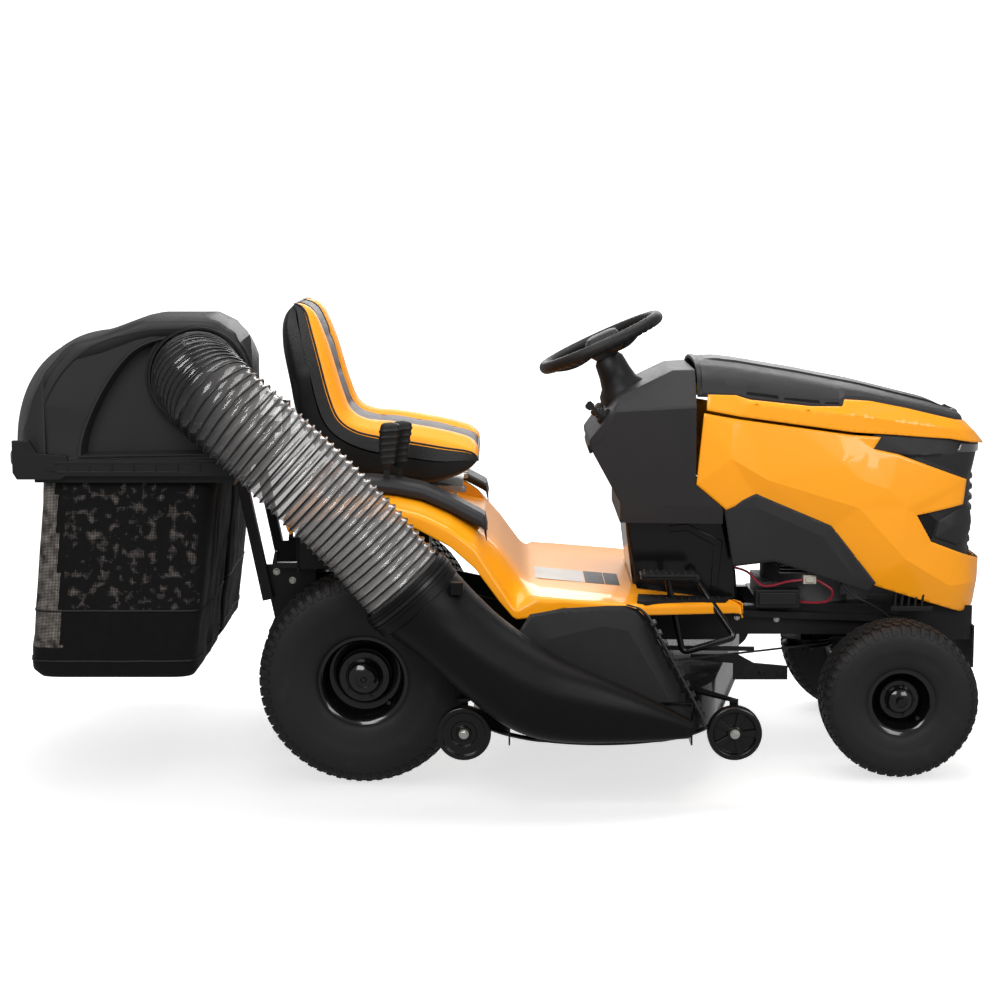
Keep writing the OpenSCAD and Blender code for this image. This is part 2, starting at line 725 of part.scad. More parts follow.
module crank_pulley() place() color("gray") {
    zcyl(crank[0], 0, 16, 236, 480);
    for (z = [belt_z, 300]) difference() {
        zcyl(crank[0], 0, pulley_r + 4, z - 11, z + 11);
        translate([crank[0], 0, z]) rotate_extrude() polygon([[pulley_r + 5, -8], [pulley_r - 9, -4],
            [pulley_r - 9, 4], [pulley_r + 5, 8]]);
    }
}

// the belt's loop around the three pulleys at radius r, as an arc at each pulley
function belt_loop(r) =
    let (p = [spindle_r, crank, spindle_l])
    [for (i = [0 : 2])
        let (n1 = seg_normal(p[(i + 2) % 3], p[i]),
             n2 = seg_normal(p[i], p[(i + 1) % 3]),
             a1 = atan2(n1[1], n1[0]),
             turn = (atan2(n2[1], n2[0]) - a1 + 360) % 360)
        for (k = [0 : 10]) p[i] + r * [cos(a1 + turn * k / 10), sin(a1 + turn * k / 10)]];

module deck_belt() place() color("black") plan(belt_z - 3, belt_z + 3) difference() {
    polygon(belt_loop(pulley_r - 2));
    polygon(belt_loop(pulley_r - 8));
}

// ---- seat ----------------------------------------------------------------

module seat_bracket() place() color("silver") {
    side(-120, 120) polygon([[-384, 708], [-386, 714], [-150, 682], [-95, 682], [-95, 676], [-150, 676]]);
    both_sides() difference() {
        side(140, 146) polygon([[-384, 708], [-386, 714], [-150, 684], [-85, 684], [-85, 668], [-105, 668],
            [-150, 676]]);
    }
    both_sides() block([-180, 118, 676.5], [-150, 142, 681]);
    both_sides() ycyl(seat_pin[0], seat_pin[1], 6, 116, 158);
    both_sides() block([-105, 118, 670], [-88, 142, 682]);
}

module seat_cushion() place() color("black")
    side(-215, 215) polygon([[-500, 858], [-470, 790], [-386, 722], [-186, 693], [-110, 715], [-58, 762],
        [-75, 801], [-150, 828], [-260, 846], [-374, 858]]);

module seat_back() place() color("black")
    side(-205, 205) polygon([[-500, 858.3], [-374, 858.3], [-390, 900], [-460, 1100], [-485, 1140],
        [-510, 1143], [-545, 1105], [-545, 1060]]);

// ---- bagger --------------------------------------------------------------

module bagger_frame() place() color("black") {
    both_sides() {
        side(186, 192) polygon([[-594, 492], [-462, 492], [-462, 420], [-540, 355], [-566, 355]]);
        block([-562, 150.3, 400], [-480, 188, 420]);
        side(190, 218) polygon(strip([[-593, 404], [-653, 700], [-653, 740]], 26));
        // post and pin of the cover hinge
        side(194, 216) polygon(strip([[-648, 690], [-581, 776], [-581, 868]], 22));
        ycyl(cover_pin[0], cover_pin[1], 8, 178, 230);
        block([-602, 196, 852], [-570, 214, 869]);
        // rails that the bags hang on
        block([-1100, 456, 735], [-630, 466, 750]);
    }
    block([-652, -466, 728], [-628, 466, 750]);
    block([-1100, -5, 735], [-652, 5, 750]);
}

// the cover's outer form, drawn in by t; open at the bottom when t > 0
module cover_form(t) {
    drop = t > 0 ? 20 : 0;
    intersection() {
        side(-520, 520) polygon([[-1215 + t, 776 - drop], [-1215 + t, 800], [-1169 + t, 896],
            [-1137 + t, 961], [-1091 + t, 1030 - t], [-1048, 1059 - t], [-949, 1084 - t],
            [-820, 1131 - t], [-682, 1130 - t],
            [-633 - t, 1103 - t], [-606 - t, 1056], [-606 - t, 776 - drop]]);
        plan(700, 1200) polygon(concat([[-500, -475 + t]],
            [for (k = [-10 : 10]) [-1215 + t + k * k, (475 - t) * k / 10]], [[-500, 475 - t]]));
        front(-1300, -500) polygon([[-475 + t, 700], [-475 + t, 980], [-430 + t, 1090 - t], [-370, 1131 - t],
            [370, 1131 - t], [430 - t, 1090 - t], [475 - t, 980], [475 - t, 700]]);
    }
}

module bag_cover() place() color("dimgray") {
    difference() {
        cover_form(0);
        cover_form(wall);
        // inlet of the hose
        translate([-706, -440, 985]) rotate([90, 0, 0]) cylinder(h = 80, r = 120);
    }
    // rim flange around the bottom
    difference() {
        plan(770, 778) polygon(concat([[-605, -483]],
            [for (k = [-10 : 10]) [-1245 + k * k, 48.3 * k]], [[-605, 483]]));
        plan(760, 790) polygon(concat([[-620, -462]],
            [for (k = [-10 : 10]) [-1198 + k * k, 46.2 * k]], [[-620, 462]]));
    }
    // hinge lugs
    both_sides() difference() {
        side(184, 191) polygon([[-612, 840], [-584, 850], [-582, 870], [-612, 880]]);
        ycyl(cover_pin[0], cover_pin[1], 8 + running, 180, 200);
    }
}

// the bag's outer form, drawn in by t; open at the top when t > 0
module bag_form(t) {
    rise = t > 0 ? 30 : 0;
    intersection() {
        side(8 + t, 454 - t) polygon([[-1088 + t, 756 + rise], [-1088 + t, 752], [-1133 + t, 276 + t],
            [-1110 + t, 262 + t], [-760 - t, 257 + t], [-728 - t, 275 + t], [-672 - t, 725],
            [-672 - t, 756 + rise]]);
        front(-1200, -600) polygon([[8 + t, 800], [10 + t, 300], [30 + t, 240 + t], [420 - t, 240 + t],
            [448 - t, 300], [454 - t, 800]]);
    }
}

// one bag hangs from the stiff lip around its mouth
module bag() difference() {
    union() {
        bag_form(0);
        block([-1092, 7, 750.5], [-655, 464, 757]);
    }
    bag_form(6);
}

module bag_left() place() color("black") bag();

module bag_right() place() color("black") mirror([0, 1, 0]) bag();

module flexible_hose() place() color("lightgray") difference() {
    swept(hose_route, hose_d / 2, 24);
    swept(concat([hose_route[0] + [0, 10, 0]], [for (i = [1 : len(hose_route) - 2]) hose_route[i]],
        [hose_route[len(hose_route) - 1] + [8, 0, -10]]), hose_d / 2 - 3, 24);
}

frame_rails();
hitch_plate();
transaxle();
engine_block();
engine_shroud();
muffler();
fuel_tank();
dash_panel();
column_boot();
pedestal();
lower_panels();
fender();
fender_trim();
deck_belt();
bagger_frame();
hood_body();
hood_top();
grille();
steering_wheel();
steering_shaft();
pinion_shaft();
sector_gear();
knuckle_right();
knuckle_left();
front_axle();
tie_rod();
drag_link();
rear_tyre_right();
rear_tyre_left();
rear_rim_right();
rear_rim_left();
front_tyre_right();
front_tyre_left();
front_rim_right();
front_rim_left();
crank_pulley();
deck_shell();
chute_boot();
deflector();
spindle_right();
spindle_left();
blade_right();
blade_left();
gauge_wheel_front_right();
gauge_wheel_rear_right();
gauge_wheel_front_left();
gauge_wheel_rear_left();
lift_lever();
speed_lever();
seat_bracket();
seat_cushion();
seat_back();
bag_cover();
bag_right();
bag_left();
flexible_hose();
ignition_key();
throttle_lever();
pto_knob();
drive_pedal();
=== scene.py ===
"""Looks of a front-engine lawn tractor with a rear bagger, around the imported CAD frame.

Points are in millimetres in the tractor's own frame: X forward, Y to the driver's left from the
centre line, Z up from the ground. at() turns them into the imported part's frame, in metres.
"""
import math

import bmesh
import bpy
from mathutils import Matrix, Vector, noise
from mathutils.geometry import delaunay_2d_cdt


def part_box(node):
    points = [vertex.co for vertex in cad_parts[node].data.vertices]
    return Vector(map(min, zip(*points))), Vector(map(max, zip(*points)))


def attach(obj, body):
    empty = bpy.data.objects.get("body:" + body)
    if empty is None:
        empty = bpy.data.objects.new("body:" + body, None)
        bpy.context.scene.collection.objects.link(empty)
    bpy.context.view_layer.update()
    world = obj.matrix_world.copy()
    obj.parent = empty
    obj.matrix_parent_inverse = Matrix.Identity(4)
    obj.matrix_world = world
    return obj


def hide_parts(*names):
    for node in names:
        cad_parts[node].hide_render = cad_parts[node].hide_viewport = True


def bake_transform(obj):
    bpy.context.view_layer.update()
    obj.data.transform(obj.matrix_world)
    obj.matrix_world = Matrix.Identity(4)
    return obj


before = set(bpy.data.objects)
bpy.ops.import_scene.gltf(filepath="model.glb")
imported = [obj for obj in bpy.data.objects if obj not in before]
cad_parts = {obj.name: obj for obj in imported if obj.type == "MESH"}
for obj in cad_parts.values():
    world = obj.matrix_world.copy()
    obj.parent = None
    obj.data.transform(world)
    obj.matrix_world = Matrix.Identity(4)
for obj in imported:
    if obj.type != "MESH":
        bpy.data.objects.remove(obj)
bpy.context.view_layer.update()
scene = bpy.context.scene

# ---- the tractor's own frame ----------------------------------------------

AXLE_X = -328
FRONT_AXLE_X = 973
right_low, right_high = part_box("rear_tyre_right")
_, left_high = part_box("rear_tyre_left")
ORIGIN = Vector((
    (right_low.x + right_high.x) / 2 - AXLE_X / 1000,
    (right_low.y + left_high.y) / 2,
    right_low.z,
))


def at(p):
    """A point of the tractor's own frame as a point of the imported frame, in metres."""
    return ORIGIN + Vector(p) / 1000


def lerp(a, b, t):
    return a + (b - a) * t


def around(n):
    """n angles spread evenly round a circle."""
    return [2 * math.pi * k / n for k in range(n)]


def squared(c, s, power):
    """How far a rounded square of half-size 1 reaches along the direction (c, s)."""
    return 1 / (abs(c) ** power + abs(s) ** power) ** (1 / power)


def along(pairs, x):
    """The value at x of a line through (x, value) pairs."""
    if x <= pairs[0][0]:
        return pairs[0][1]
    for (x0, v0), (x1, v1) in zip(pairs, pairs[1:]):
        if x <= x1:
            return lerp(v0, v1, (x - x0) / (x1 - x0))
    return pairs[-1][1]


def spline(points, count, closed=False):
    """count points spread evenly along a smooth curve through the given points."""
    p = [Vector(q) for q in points]
    n = len(p)
    fine = []
    for i in range(n if closed else n - 1):
        if closed:
            a, b, c, d = (p[(i + k) % n] for k in (-1, 0, 1, 2))
        else:
            a, b, c, d = p[max(i - 1, 0)], p[i], p[i + 1], p[min(i + 2, n - 1)]
        for k in range(16):
            t = k / 16
            fine.append(0.5 * (2 * b + (c - a) * t + (2 * a - 5 * b + 4 * c - d) * t * t
                               + (3 * b - a - 3 * c + d) * t ** 3))
    fine.append(fine[0].copy() if closed else p[-1])
    return spaced(fine, count, closed)


def spaced(line, count, closed=False):
    """count points at even steps along a polyline; a closed one repeats its first point."""
    line = [Vector(q) for q in line]
    reach = [0.0]
    for a, b in zip(line, line[1:]):
        reach.append(reach[-1] + (b - a).length)
    out = []
    k = 0
    for i in range(count):
        s = reach[-1] * i / (count if closed else count - 1)
        while k < len(line) - 2 and reach[k + 1] < s:
            k += 1
        step = max(reach[k + 1] - reach[k], 1e-9)
        out.append(line[k].lerp(line[k + 1], min(max((s - reach[k]) / step, 0), 1)))
    return out


def frames(path):
    """A tangent and two side directions at each point of a path, without twist."""
    out = []
    side = None
    for i in range(len(path)):
        t = (path[min(i + 1, len(path) - 1)] - path[max(i - 1, 0)]).normalized()
        if side is None:
            side = t.cross(Vector((0, 0, 1)) if abs(t.z) < 0.9 else Vector((0, 1, 0)))
        side = (side - t * side.dot(t)).normalized()
        out.append((t, side, t.cross(side)))
    return out


# ---- meshes ----------------------------------------------------------------

BOX_FACES = [[0, 1, 2, 3], [7, 6, 5, 4], [0, 4, 5, 1], [1, 5, 6, 2], [2, 6, 7, 3], [3, 7, 4, 0]]


def linked(name, data, place=None):
    """A new object in the scene."""
    obj = bpy.data.objects.new(name, data)
    scene.collection.objects.link(obj)
    if place is not None:
        obj.location = place
    return obj


def hull(points):
    """The points of the convex outline around a set of plan points, in order."""
    def half(order):
        line = []
        for p in order:
            while len(line) > 1 and ((line[-1][0] - line[-2][0]) * (p[1] - line[-2][1])
                                     - (line[-1][1] - line[-2][1]) * (p[0] - line[-2][0])) <= 0:
                line.pop()
            line.append(p)
        return line[:-1]
    return half(points) + half(points[::-1])


class Shape:
    """Vertices and faces gathered in millimetres, then made into one piece."""

    def __init__(self):
        self.verts, self.faces, self.slots, self.creases = [], [], [], []

    def add(self, verts, faces, slot=0):
        first = len(self.verts)
        self.verts += [Vector(v) for v in verts]
        self.faces += [[first + i for i in f] for f in faces]
        self.slots += [slot] * len(faces)
        return self

    def grid(self, rows, round_rows=False, caps=False, slot=0, round_line=False):
        """Quads between rows of points; round_rows joins each row's ends."""
        def pick(i, j):
            return slot(i, j) if callable(slot) else slot
        n = len(rows[0])
        m = len(rows)
        first = len(self.verts)
        self.verts += [Vector(v) for row in rows for v in row]
        faces = []
        for i in range(m if round_line else m - 1):
            for j in range(n if round_rows else n - 1):
                a, b = i * n + j, i * n + (j + 1) % n
                c, d = ((i + 1) % m) * n + (j + 1) % n, ((i + 1) % m) * n + j
                faces.append(([a, b, c, d], pick(i, j)))
        if caps:
            faces.append((list(range(n - 1, -1, -1)), pick(0, 0)))
            faces.append(([(m - 1) * n + j for j in range(n)], pick(m - 2, 0)))
        for f, material in faces:
            self.faces.append([first + i for i in f])
            self.slots.append(material)
        return self

    def tube(self, path, r, n=12, caps=True, slot=0):
        """A round tube; r is a radius, or a function of the share of the length."""
        path = [Vector(p) for p in path]
        rows = []
        for i, (p, (_, u, v)) in enumerate(zip(path, frames(path))):
            radius = r(i / (len(path) - 1)) if callable(r) else r
            rows.append([p + radius * (math.cos(a) * u + math.sin(a) * v) for a in around(n)])
        return self.grid(rows, round_rows=True, caps=caps, slot=slot)

    def lathe(self, profile, origin, axis, n=48, slot=0, closed=False):
        """A profile of (radius, height) turned about an axis."""
        w = Vector(axis).normalized()
        u = w.cross(Vector((0, 0, 1)) if abs(w.z) < 0.9 else Vector((1, 0, 0))).normalized()
        v = w.cross(u)
        rows = []
        for r, h in profile:
            rows.append([Vector(origin) + w * h + max(r, 0.01) * (math.cos(a) * u + math.sin(a) * v)
                         for a in around(n)])
        return self.grid(rows, round_rows=True, caps=not closed, slot=slot, round_line=closed)

    def prism(self, outline, y0, y1, plane="xz", slot=0):
        """An outline in one plane, drawn out between two values of the third axis."""
        def put(a, b, c):
            return {"xz": (a, c, b), "xy": (a, b, c), "yz": (c, a, b)}[plane]
        n = len(outline)
        verts = [put(a, b, y0) for a, b in outline] + [put(a, b, y1) for a, b in outline]
        faces = [[i, (i + 1) % n, n + (i + 1) % n, n + i] for i in range(n)]
        faces += [list(range(n - 1, -1, -1)), list(range(n, 2 * n))]
        return self.add(verts, faces, slot)

    def block(self, low, high, slot=0):
        x0, y0, z0 = low
        x1, y1, z1 = high
        return self.prism([(x0, z0), (x1, z0), (x1, z1), (x0, z1)], y0, y1, slot=slot)

    def bolt(self, p, axis, r=7, h=5, slot=0):
        """A hexagon head on a washer."""
        self.lathe([(0, 0), (r * 1.25, 0), (r * 1.25, 1.5), (0, 1.5)], p, axis, 20, slot)
        self.lathe([(0, 1), (r, 1), (r, h), (r * 0.8, h + 1), (0, h + 1)], p, axis, 6, slot)
        return self

    def mirrored(self):
        """The same again on the other side of the centre line."""
        n = len(self.verts)
        self.verts += [Vector((v.x, -v.y, v.z)) for v in self.verts]
        self.faces += [[n + i for i in reversed(f)] for f in self.faces]
        self.slots += self.slots
        return self

    def turned(self, matrix):
        self.verts = [matrix @ v for v in self.verts]
        return self

    def piece(self, name, materials, body=None, stands_for=(), sharp=35, weld=0.02):
        """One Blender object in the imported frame, riding on a body."""
        materials = materials if isinstance(materials, (list, tuple)) else [materials]
        mesh = bpy.data.meshes.new(name)
        mesh.from_pydata([at(v) for v in self.verts], [], self.faces)
        for m in materials:
            mesh.materials.append(m)
        mesh.polygons.foreach_set("material_index", self.slots)
        obj = linked(name, mesh)
        bm = bmesh.new()
        bm.from_mesh(mesh)
        bmesh.ops.remove_doubles(bm, verts=bm.verts, dist=weld / 1000)
        bmesh.ops.dissolve_degenerate(bm, edges=bm.edges, dist=weld / 2000)
        bmesh.ops.recalc_face_normals(bm, faces=bm.faces)
        bm.to_mesh(mesh)
        bm.free()
        mesh.polygons.foreach_set("use_smooth", [True] * len(mesh.polygons))
        mesh.set_sharp_from_angle(angle=math.radians(sharp))
        if body:
            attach(obj, body)
        for node in stands_for:
            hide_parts(node)
        return obj


def thicken(obj, mm, offset=-1):
    m = obj.modifiers.new("wall", "SOLIDIFY")
    m.thickness = mm / 1000
    m.offset = offset
    m.use_even_offset = False
    return obj


def bevelled(obj, mm, segments=2, angle=32):
    m = obj.modifiers.new("edges", "BEVEL")
    m.width = mm / 1000
    m.segments = segments
    m.limit_method = "ANGLE"
    m.angle_limit = math.radians(angle)
    m.harden_normals = True
    return obj


def subdivided(obj, levels=1):
    m = obj.modifiers.new("smooth", "SUBSURF")
    m.levels = m.render_levels = levels
    return obj


# ---- materials -------------------------------------------------------------

def finish(name, slot, colour, rough, metal=0.0, mottle=0.1, grain=0.0, grain_mm=1.0, coat=0.0,
           cell=False, sheen=0.0, dirt=None, alpha=1.0, glint=0.25):
    """A procedural surface: colour variation, uneven roughness, grain as bump, and dust."""
    m = bpy.data.materials.new(name)
    m.use_nodes = True
    m["slot"] = slot
    tree = m.node_tree
    links = tree.links
    shader = tree.nodes["Principled BSDF"]
    shader.inputs["Metallic"].default_value = metal
    shader.inputs["IOR"].default_value = 1.5
    shader.inputs["Specular IOR Level"].default_value = glint
    shader.inputs["Coat Weight"].default_value = coat
    shader.inputs["Coat Roughness"].default_value = 0.04
    shader.inputs["Sheen Weight"].default_value = sheen
    shader.inputs["Alpha"].default_value = alpha
    where = tree.nodes.new("ShaderNodeTexCoord").outputs["Object"]

    def speckle(scale, detail=4.0):
        n = tree.nodes.new("ShaderNodeTexNoise")
        n.inputs["Scale"].default_value = scale
        n.inputs["Detail"].default_value = detail
        links.new(where, n.inputs["Vector"])
        return n.outputs["Fac"]

    cloud = speckle(9.0)
    tint = tree.nodes.new("ShaderNodeMix")
    tint.data_type = "RGBA"
    tint.inputs["A"].default_value = [c * (1 - mottle) for c in colour] + [1]
    tint.inputs["B"].default_value = [min(1, c * (1 + mottle)) for c in colour] + [1]
    links.new(cloud, tint.inputs["Factor"])
    shown = tint.outputs["Result"]
    if dirt:
        spread = tree.nodes.new("ShaderNodeMapRange")
        spread.inputs["From Min"].default_value = 0.56
        spread.inputs["From Max"].default_value = 0.75
        spread.inputs["To Max"].default_value = 0.35
        links.new(speckle(23.0, 8.0), spread.inputs["Value"])
        dusty = tree.nodes.new("ShaderNodeMix")
        dusty.data_type = "RGBA"
        dusty.inputs["B"].default_value = list(dirt) + [1]
        links.new(spread.outputs["Result"], dusty.inputs["Factor"])
        links.new(shown, dusty.inputs["A"])
        shown = dusty.outputs["Result"]
    links.new(shown, shader.inputs["Base Color"])
    gloss = tree.nodes.new("ShaderNodeMapRange")
    gloss.inputs["To Min"].default_value = rough * 0.82
    gloss.inputs["To Max"].default_value = min(1, rough * 1.18)
    links.new(speckle(40.0), gloss.inputs["Value"])
    links.new(gloss.outputs["Result"], shader.inputs["Roughness"])
    if grain:
        bump = tree.nodes.new("ShaderNodeBump")
        bump.inputs["Strength"].default_value = grain
        bump.inputs["Distance"].default_value = grain_mm / 2500
        if cell:
            pits = tree.nodes.new("ShaderNodeTexVoronoi")
            pits.inputs["Scale"].default_value = 1000 / grain_mm
            links.new(where, pits.inputs["Vector"])
            links.new(pits.outputs["Distance"], bump.inputs["Height"])
        else:
            links.new(speckle(1000 / grain_mm, 2.0), bump.inputs["Height"])
        links.new(bump.outputs["Normal"], shader.inputs["Normal"])
    return m


def woven(name, slot, colour, pale, thread_mm, blotch, rough=0.85):
    """A fabric of crossing threads; pale shows through it in blotches."""
    m = finish(name, slot, colour, rough, sheen=0.05, glint=0.1)
    tree = m.node_tree
    links = tree.links
    shader = tree.nodes["Principled BSDF"]
    where = tree.nodes.new("ShaderNodeTexCoord").outputs["Object"]
    height = None
    for axis in ("X", "Z"):
        wave = tree.nodes.new("ShaderNodeTexWave")
        wave.bands_direction = axis
        wave.inputs["Scale"].default_value = 1000 / thread_mm / 6.283
        wave.inputs["Distortion"].default_value = 0.4
        links.new(where, wave.inputs["Vector"])
        if height is None:
            height = wave.outputs["Fac"]
        else:
            both = tree.nodes.new("ShaderNodeMath")
            both.operation = "MULTIPLY"
            links.new(height, both.inputs[0])
            links.new(wave.outputs["Fac"], both.inputs[1])
            height = both.outputs["Value"]
    bump = tree.nodes.new("ShaderNodeBump")
    bump.inputs["Strength"].default_value = 0.5
    bump.inputs["Distance"].default_value = 0.0006
    links.new(height, bump.inputs["Height"])
    links.new(bump.outputs["Normal"], shader.inputs["Normal"])
    if blotch:
        cloud = tree.nodes.new("ShaderNodeTexNoise")
        cloud.inputs["Scale"].default_value = 42.0
        cloud.inputs["Detail"].default_value = 2.0
        cloud.inputs["Distortion"].default_value = 0.25
        links.new(where, cloud.inputs["Vector"])
        spread = tree.nodes.new("ShaderNodeMapRange")
        spread.inputs["From Min"].default_value = 0.62 - blotch
        spread.inputs["From Max"].default_value = 0.98 - blotch
        links.new(cloud.outputs["Fac"], spread.inputs["Value"])
        holes = tree.nodes.new("ShaderNodeMath")
        holes.operation = "MULTIPLY"
        links.new(spread.outputs["Result"], holes.inputs[0])
        links.new(height, holes.inputs[1])
        mix = tree.nodes.new("ShaderNodeMix")
        mix.data_type = "RGBA"
        mix.inputs["A"].default_value = list(colour) + [1]
        mix.inputs["B"].default_value = list(pale) + [1]
        links.new(holes.outputs["Value"], mix.inputs["Factor"])
        links.new(mix.outputs["Result"], shader.inputs["Base Color"])
    return m


yellow = finish("yellow_paint", "body_yellow", (0.93, 0.34, 0.008), 0.32, mottle=0.03,
                grain=0.05, grain_mm=3, coat=0.35)
charcoal = finish("charcoal_plastic", "charcoal_plastic", (0.019, 0.018, 0.0195), 0.5, mottle=0.12,
                  grain=0.25, grain_mm=0.8, cell=True)
black_plastic = finish("black_plastic", "black_plastic", (0.0085, 0.0085, 0.009), 0.45,
                       grain=0.2, grain_mm=0.9, cell=True)
gloss_black = finish("gloss_black", "black_plastic", (0.0035, 0.0035, 0.004), 0.18, coat=0.15,
                     grain=0.04, grain_mm=6)
boot_black = finish("boot_plastic", "black_plastic", (0.004, 0.004, 0.004), 0.42, grain=0.2,
                    grain_mm=0.9, cell=True, glint=0.13)
# Near-black soot on the muffler; the same flat black is painted shade in the grille mouth and the hood vent
# slots.
soot_and_opening_shade = finish("soot_and_opening_shade", "black_plastic", (0.003, 0.003, 0.003), 0.8, grain=0.2)
frame_black = finish("frame_powder_coat", "frame_paint", (0.006, 0.006, 0.0065), 0.36, grain=0.12,
                     grain_mm=1.4, dirt=(0.022, 0.021, 0.02))
rim_black = finish("rim_enamel", "rim_paint", (0.004, 0.004, 0.0045), 0.17, coat=0.45, grain=0.03,
                   grain_mm=8)
rubber = finish("tyre_rubber", "tyre", (0.0095, 0.009, 0.009), 0.6, mottle=0.2, grain=0.3,
                grain_mm=1.2, dirt=(0.024, 0.02, 0.018))
steel = finish("zinc_steel", "steel", (0.52, 0.51, 0.48), 0.3, metal=1.0, mottle=0.15, grain=0.15,
               grain_mm=2)
blade_steel = finish("blade_steel", "steel", (0.3, 0.3, 0.31), 0.35, metal=1.0, grain=0.2)
alloy = finish("cast_alloy", "cast_alloy", (0.13, 0.13, 0.135), 0.5, metal=0.8, mottle=0.2,
               grain=0.6, grain_mm=1.6)
vinyl_black = finish("vinyl_black", "seat_vinyl", (0.009, 0.009, 0.009), 0.42, grain=0.5,
                     grain_mm=2.2, cell=True, sheen=0.05)
vinyl_yellow = finish("vinyl_yellow", "seat_vinyl", (0.92, 0.34, 0.012), 0.42, mottle=0.04,
                      grain=0.4, grain_mm=2.2, cell=True)
vinyl_grey = finish("vinyl_grey", "seat_vinyl", (0.062, 0.05, 0.051), 0.5, grain=0.4,
                    grain_mm=2.0, cell=True)
clear = finish("clear_hose_wall", "hose_clear", (0.3, 0.285, 0.28), 0.16, coat=0.8, grain=0.12,
               grain_mm=16, alpha=0.54, mottle=0.5, glint=0.6)
# Painted shade: the hose wall colour is mixed to near-black towards its inlet end at the cover, fading out
# between these two X positions.
tree = clear.node_tree
length = tree.nodes.new("ShaderNodeSeparateXYZ")
tree.links.new(tree.nodes.new("ShaderNodeTexCoord").outputs["Object"], length.inputs[0])
painted_shade_ramp = tree.nodes.new("ShaderNodeMapRange")
painted_shade_ramp.inputs["From Min"].default_value = at((-700, 0, 0)).x
painted_shade_ramp.inputs["From Max"].default_value = at((-470, 0, 0)).x
tree.links.new(length.outputs["X"], painted_shade_ramp.inputs["Value"])
shade = tree.nodes.new("ShaderNodeMix")
shade.data_type = "RGBA"
shade.inputs["A"].default_value = (0.012, 0.012, 0.012, 1)
base = tree.nodes["Principled BSDF"].inputs["Base Color"]
tree.links.new(base.links[0].from_socket, shade.inputs["B"])
tree.links.new(painted_shade_ramp.outputs["Result"], shade.inputs["Factor"])
tree.links.new(shade.outputs["Result"], base)
hose_wire = finish("hose_helix", "hose_clear", (0.006, 0.006, 0.0065), 0.3, coat=0.3)
fabric = woven("bag_cloth", "bag_fabric", (0.004, 0.004, 0.0042), (0.1, 0.1, 0.1), 1.2, 0)
mesh_cloth = woven("bag_mesh", "bag_fabric", (0.0045, 0.0045, 0.0048), (0.5, 0.44, 0.4), 1.8, 0.09)
strip_cloth = woven("bag_mesh_strip", "bag_fabric", (0.02, 0.018, 0.017), (0.5, 0.45, 0.4), 1.8,
                    0.32)
belt_rubber = finish("belt_rubber", "belt_rubber", (0.02, 0.02, 0.021), 0.7, grain=0.4)
grip_rubber = finish("grip_rubber", "grip_rubber", (0.0095, 0.009, 0.009), 0.5, grain=0.4,
                     grain_mm=1.5)
knob_dark = finish("knob_moulding", "knob_yellow", (0.02, 0.016, 0.01), 0.4, grain=0.1)
wire_red = finish("wire_red", "grip_rubber", (0.2, 0.008, 0.02), 0.4)
connector = finish("connector_white", "black_plastic", (0.4, 0.37, 0.32), 0.5)
lens = finish("lamp_lens", "black_plastic", (0.05, 0.05, 0.055), 0.08, coat=1.0, mottle=0.3)
label = finish("plain_label", "black_plastic", (0.5, 0.46, 0.42), 0.45, mottle=0.3)

# ---- camera, light and floor -----------------------------------------------

CAMERA = (0, -5500, 1397.6)
TILT = 0.139
camera = linked("camera", bpy.data.cameras.new("camera"), at(CAMERA))
camera.rotation_euler = (math.pi / 2 - TILT, 0, 0)
camera.data.lens = 77.33
camera.data.sensor_width = 36
camera.data.clip_end = 100
scene.camera = camera


def softbox(name, place, target, size, power, colour=(1, 1, 1)):
    light = bpy.data.lights.new(name, "AREA")
    light.shape = "RECTANGLE"
    light.size, light.size_y = size
    light.energy = power
    light.color = colour
    obj = linked(name, light, place)
    obj.rotation_euler = (Vector(target) - Vector(place)).to_track_quat("-Z", "Y").to_euler()


softbox("key", (-1.6, -3.6, 3.4), (0, 0, 0.5), (2.6, 1.6), 128)
softbox("fill", (2.6, -3.4, 2.2), (0.3, 0, 0.5), (2.0, 1.6), 74)
softbox("top", (0, 0.4, 3.6), (0, 0, 0), (3.4, 2.2), 82)
softbox("back", (0.5, 3.8, 2.2), (0, 0, 0.6), (3.0, 1.6), 60)
world = bpy.data.worlds.new("studio")
scene.world = world
world.use_nodes = True
world.node_tree.nodes["Background"].inputs["Color"].default_value = (1, 1, 1, 1)
world.node_tree.nodes["Background"].inputs["Strength"].default_value = 0.42
scene.view_settings.view_transform = "Standard"


def glowing(material, strength):
    shader = material.node_tree.nodes["Principled BSDF"]
    shader.inputs["Emission Color"].default_value = (1, 1, 1, 1)
    shader.inputs["Emission Strength"].default_value = strength
    return material


BACK = 9000
floor = Shape().lathe([(0.1, 0), (2000, 0), (4000, 0), (BACK * 1.02, 0)], (0, 0, -0.5), (0, 0, 1), 64)
floor_paint = glowing(finish("floor", "frame_paint", (0.85, 0.85, 0.85), 0.8, mottle=0.01), 0.4)
nodes = floor_paint.node_tree.nodes
far = nodes.new("ShaderNodeVectorMath")
far.operation = "LENGTH"
floor_paint.node_tree.links.new(nodes.new("ShaderNodeTexCoord").outputs["Object"], far.inputs[0])
glow = nodes.new("ShaderNodeMapRange")
for socket, value in (("From Min", 1.1), ("From Max", 2.2), ("To Min", 0.68), ("To Max", 1.0)):
    glow.inputs[socket].default_value = value
floor_paint.node_tree.links.new(far.outputs["Value"], glow.inputs["Value"])
floor_paint.node_tree.links.new(glow.outputs["Result"],
                                nodes["Principled BSDF"].inputs["Emission Strength"])
floor = floor.piece("floor", floor_paint)
floor.visible_diffuse = floor.visible_glossy = False
backdrop = Shape().grid([[(BACK * math.cos(a), BACK * math.sin(a), z) for a in around(96)]
                         for z in (-3000, 12000)], round_rows=True)
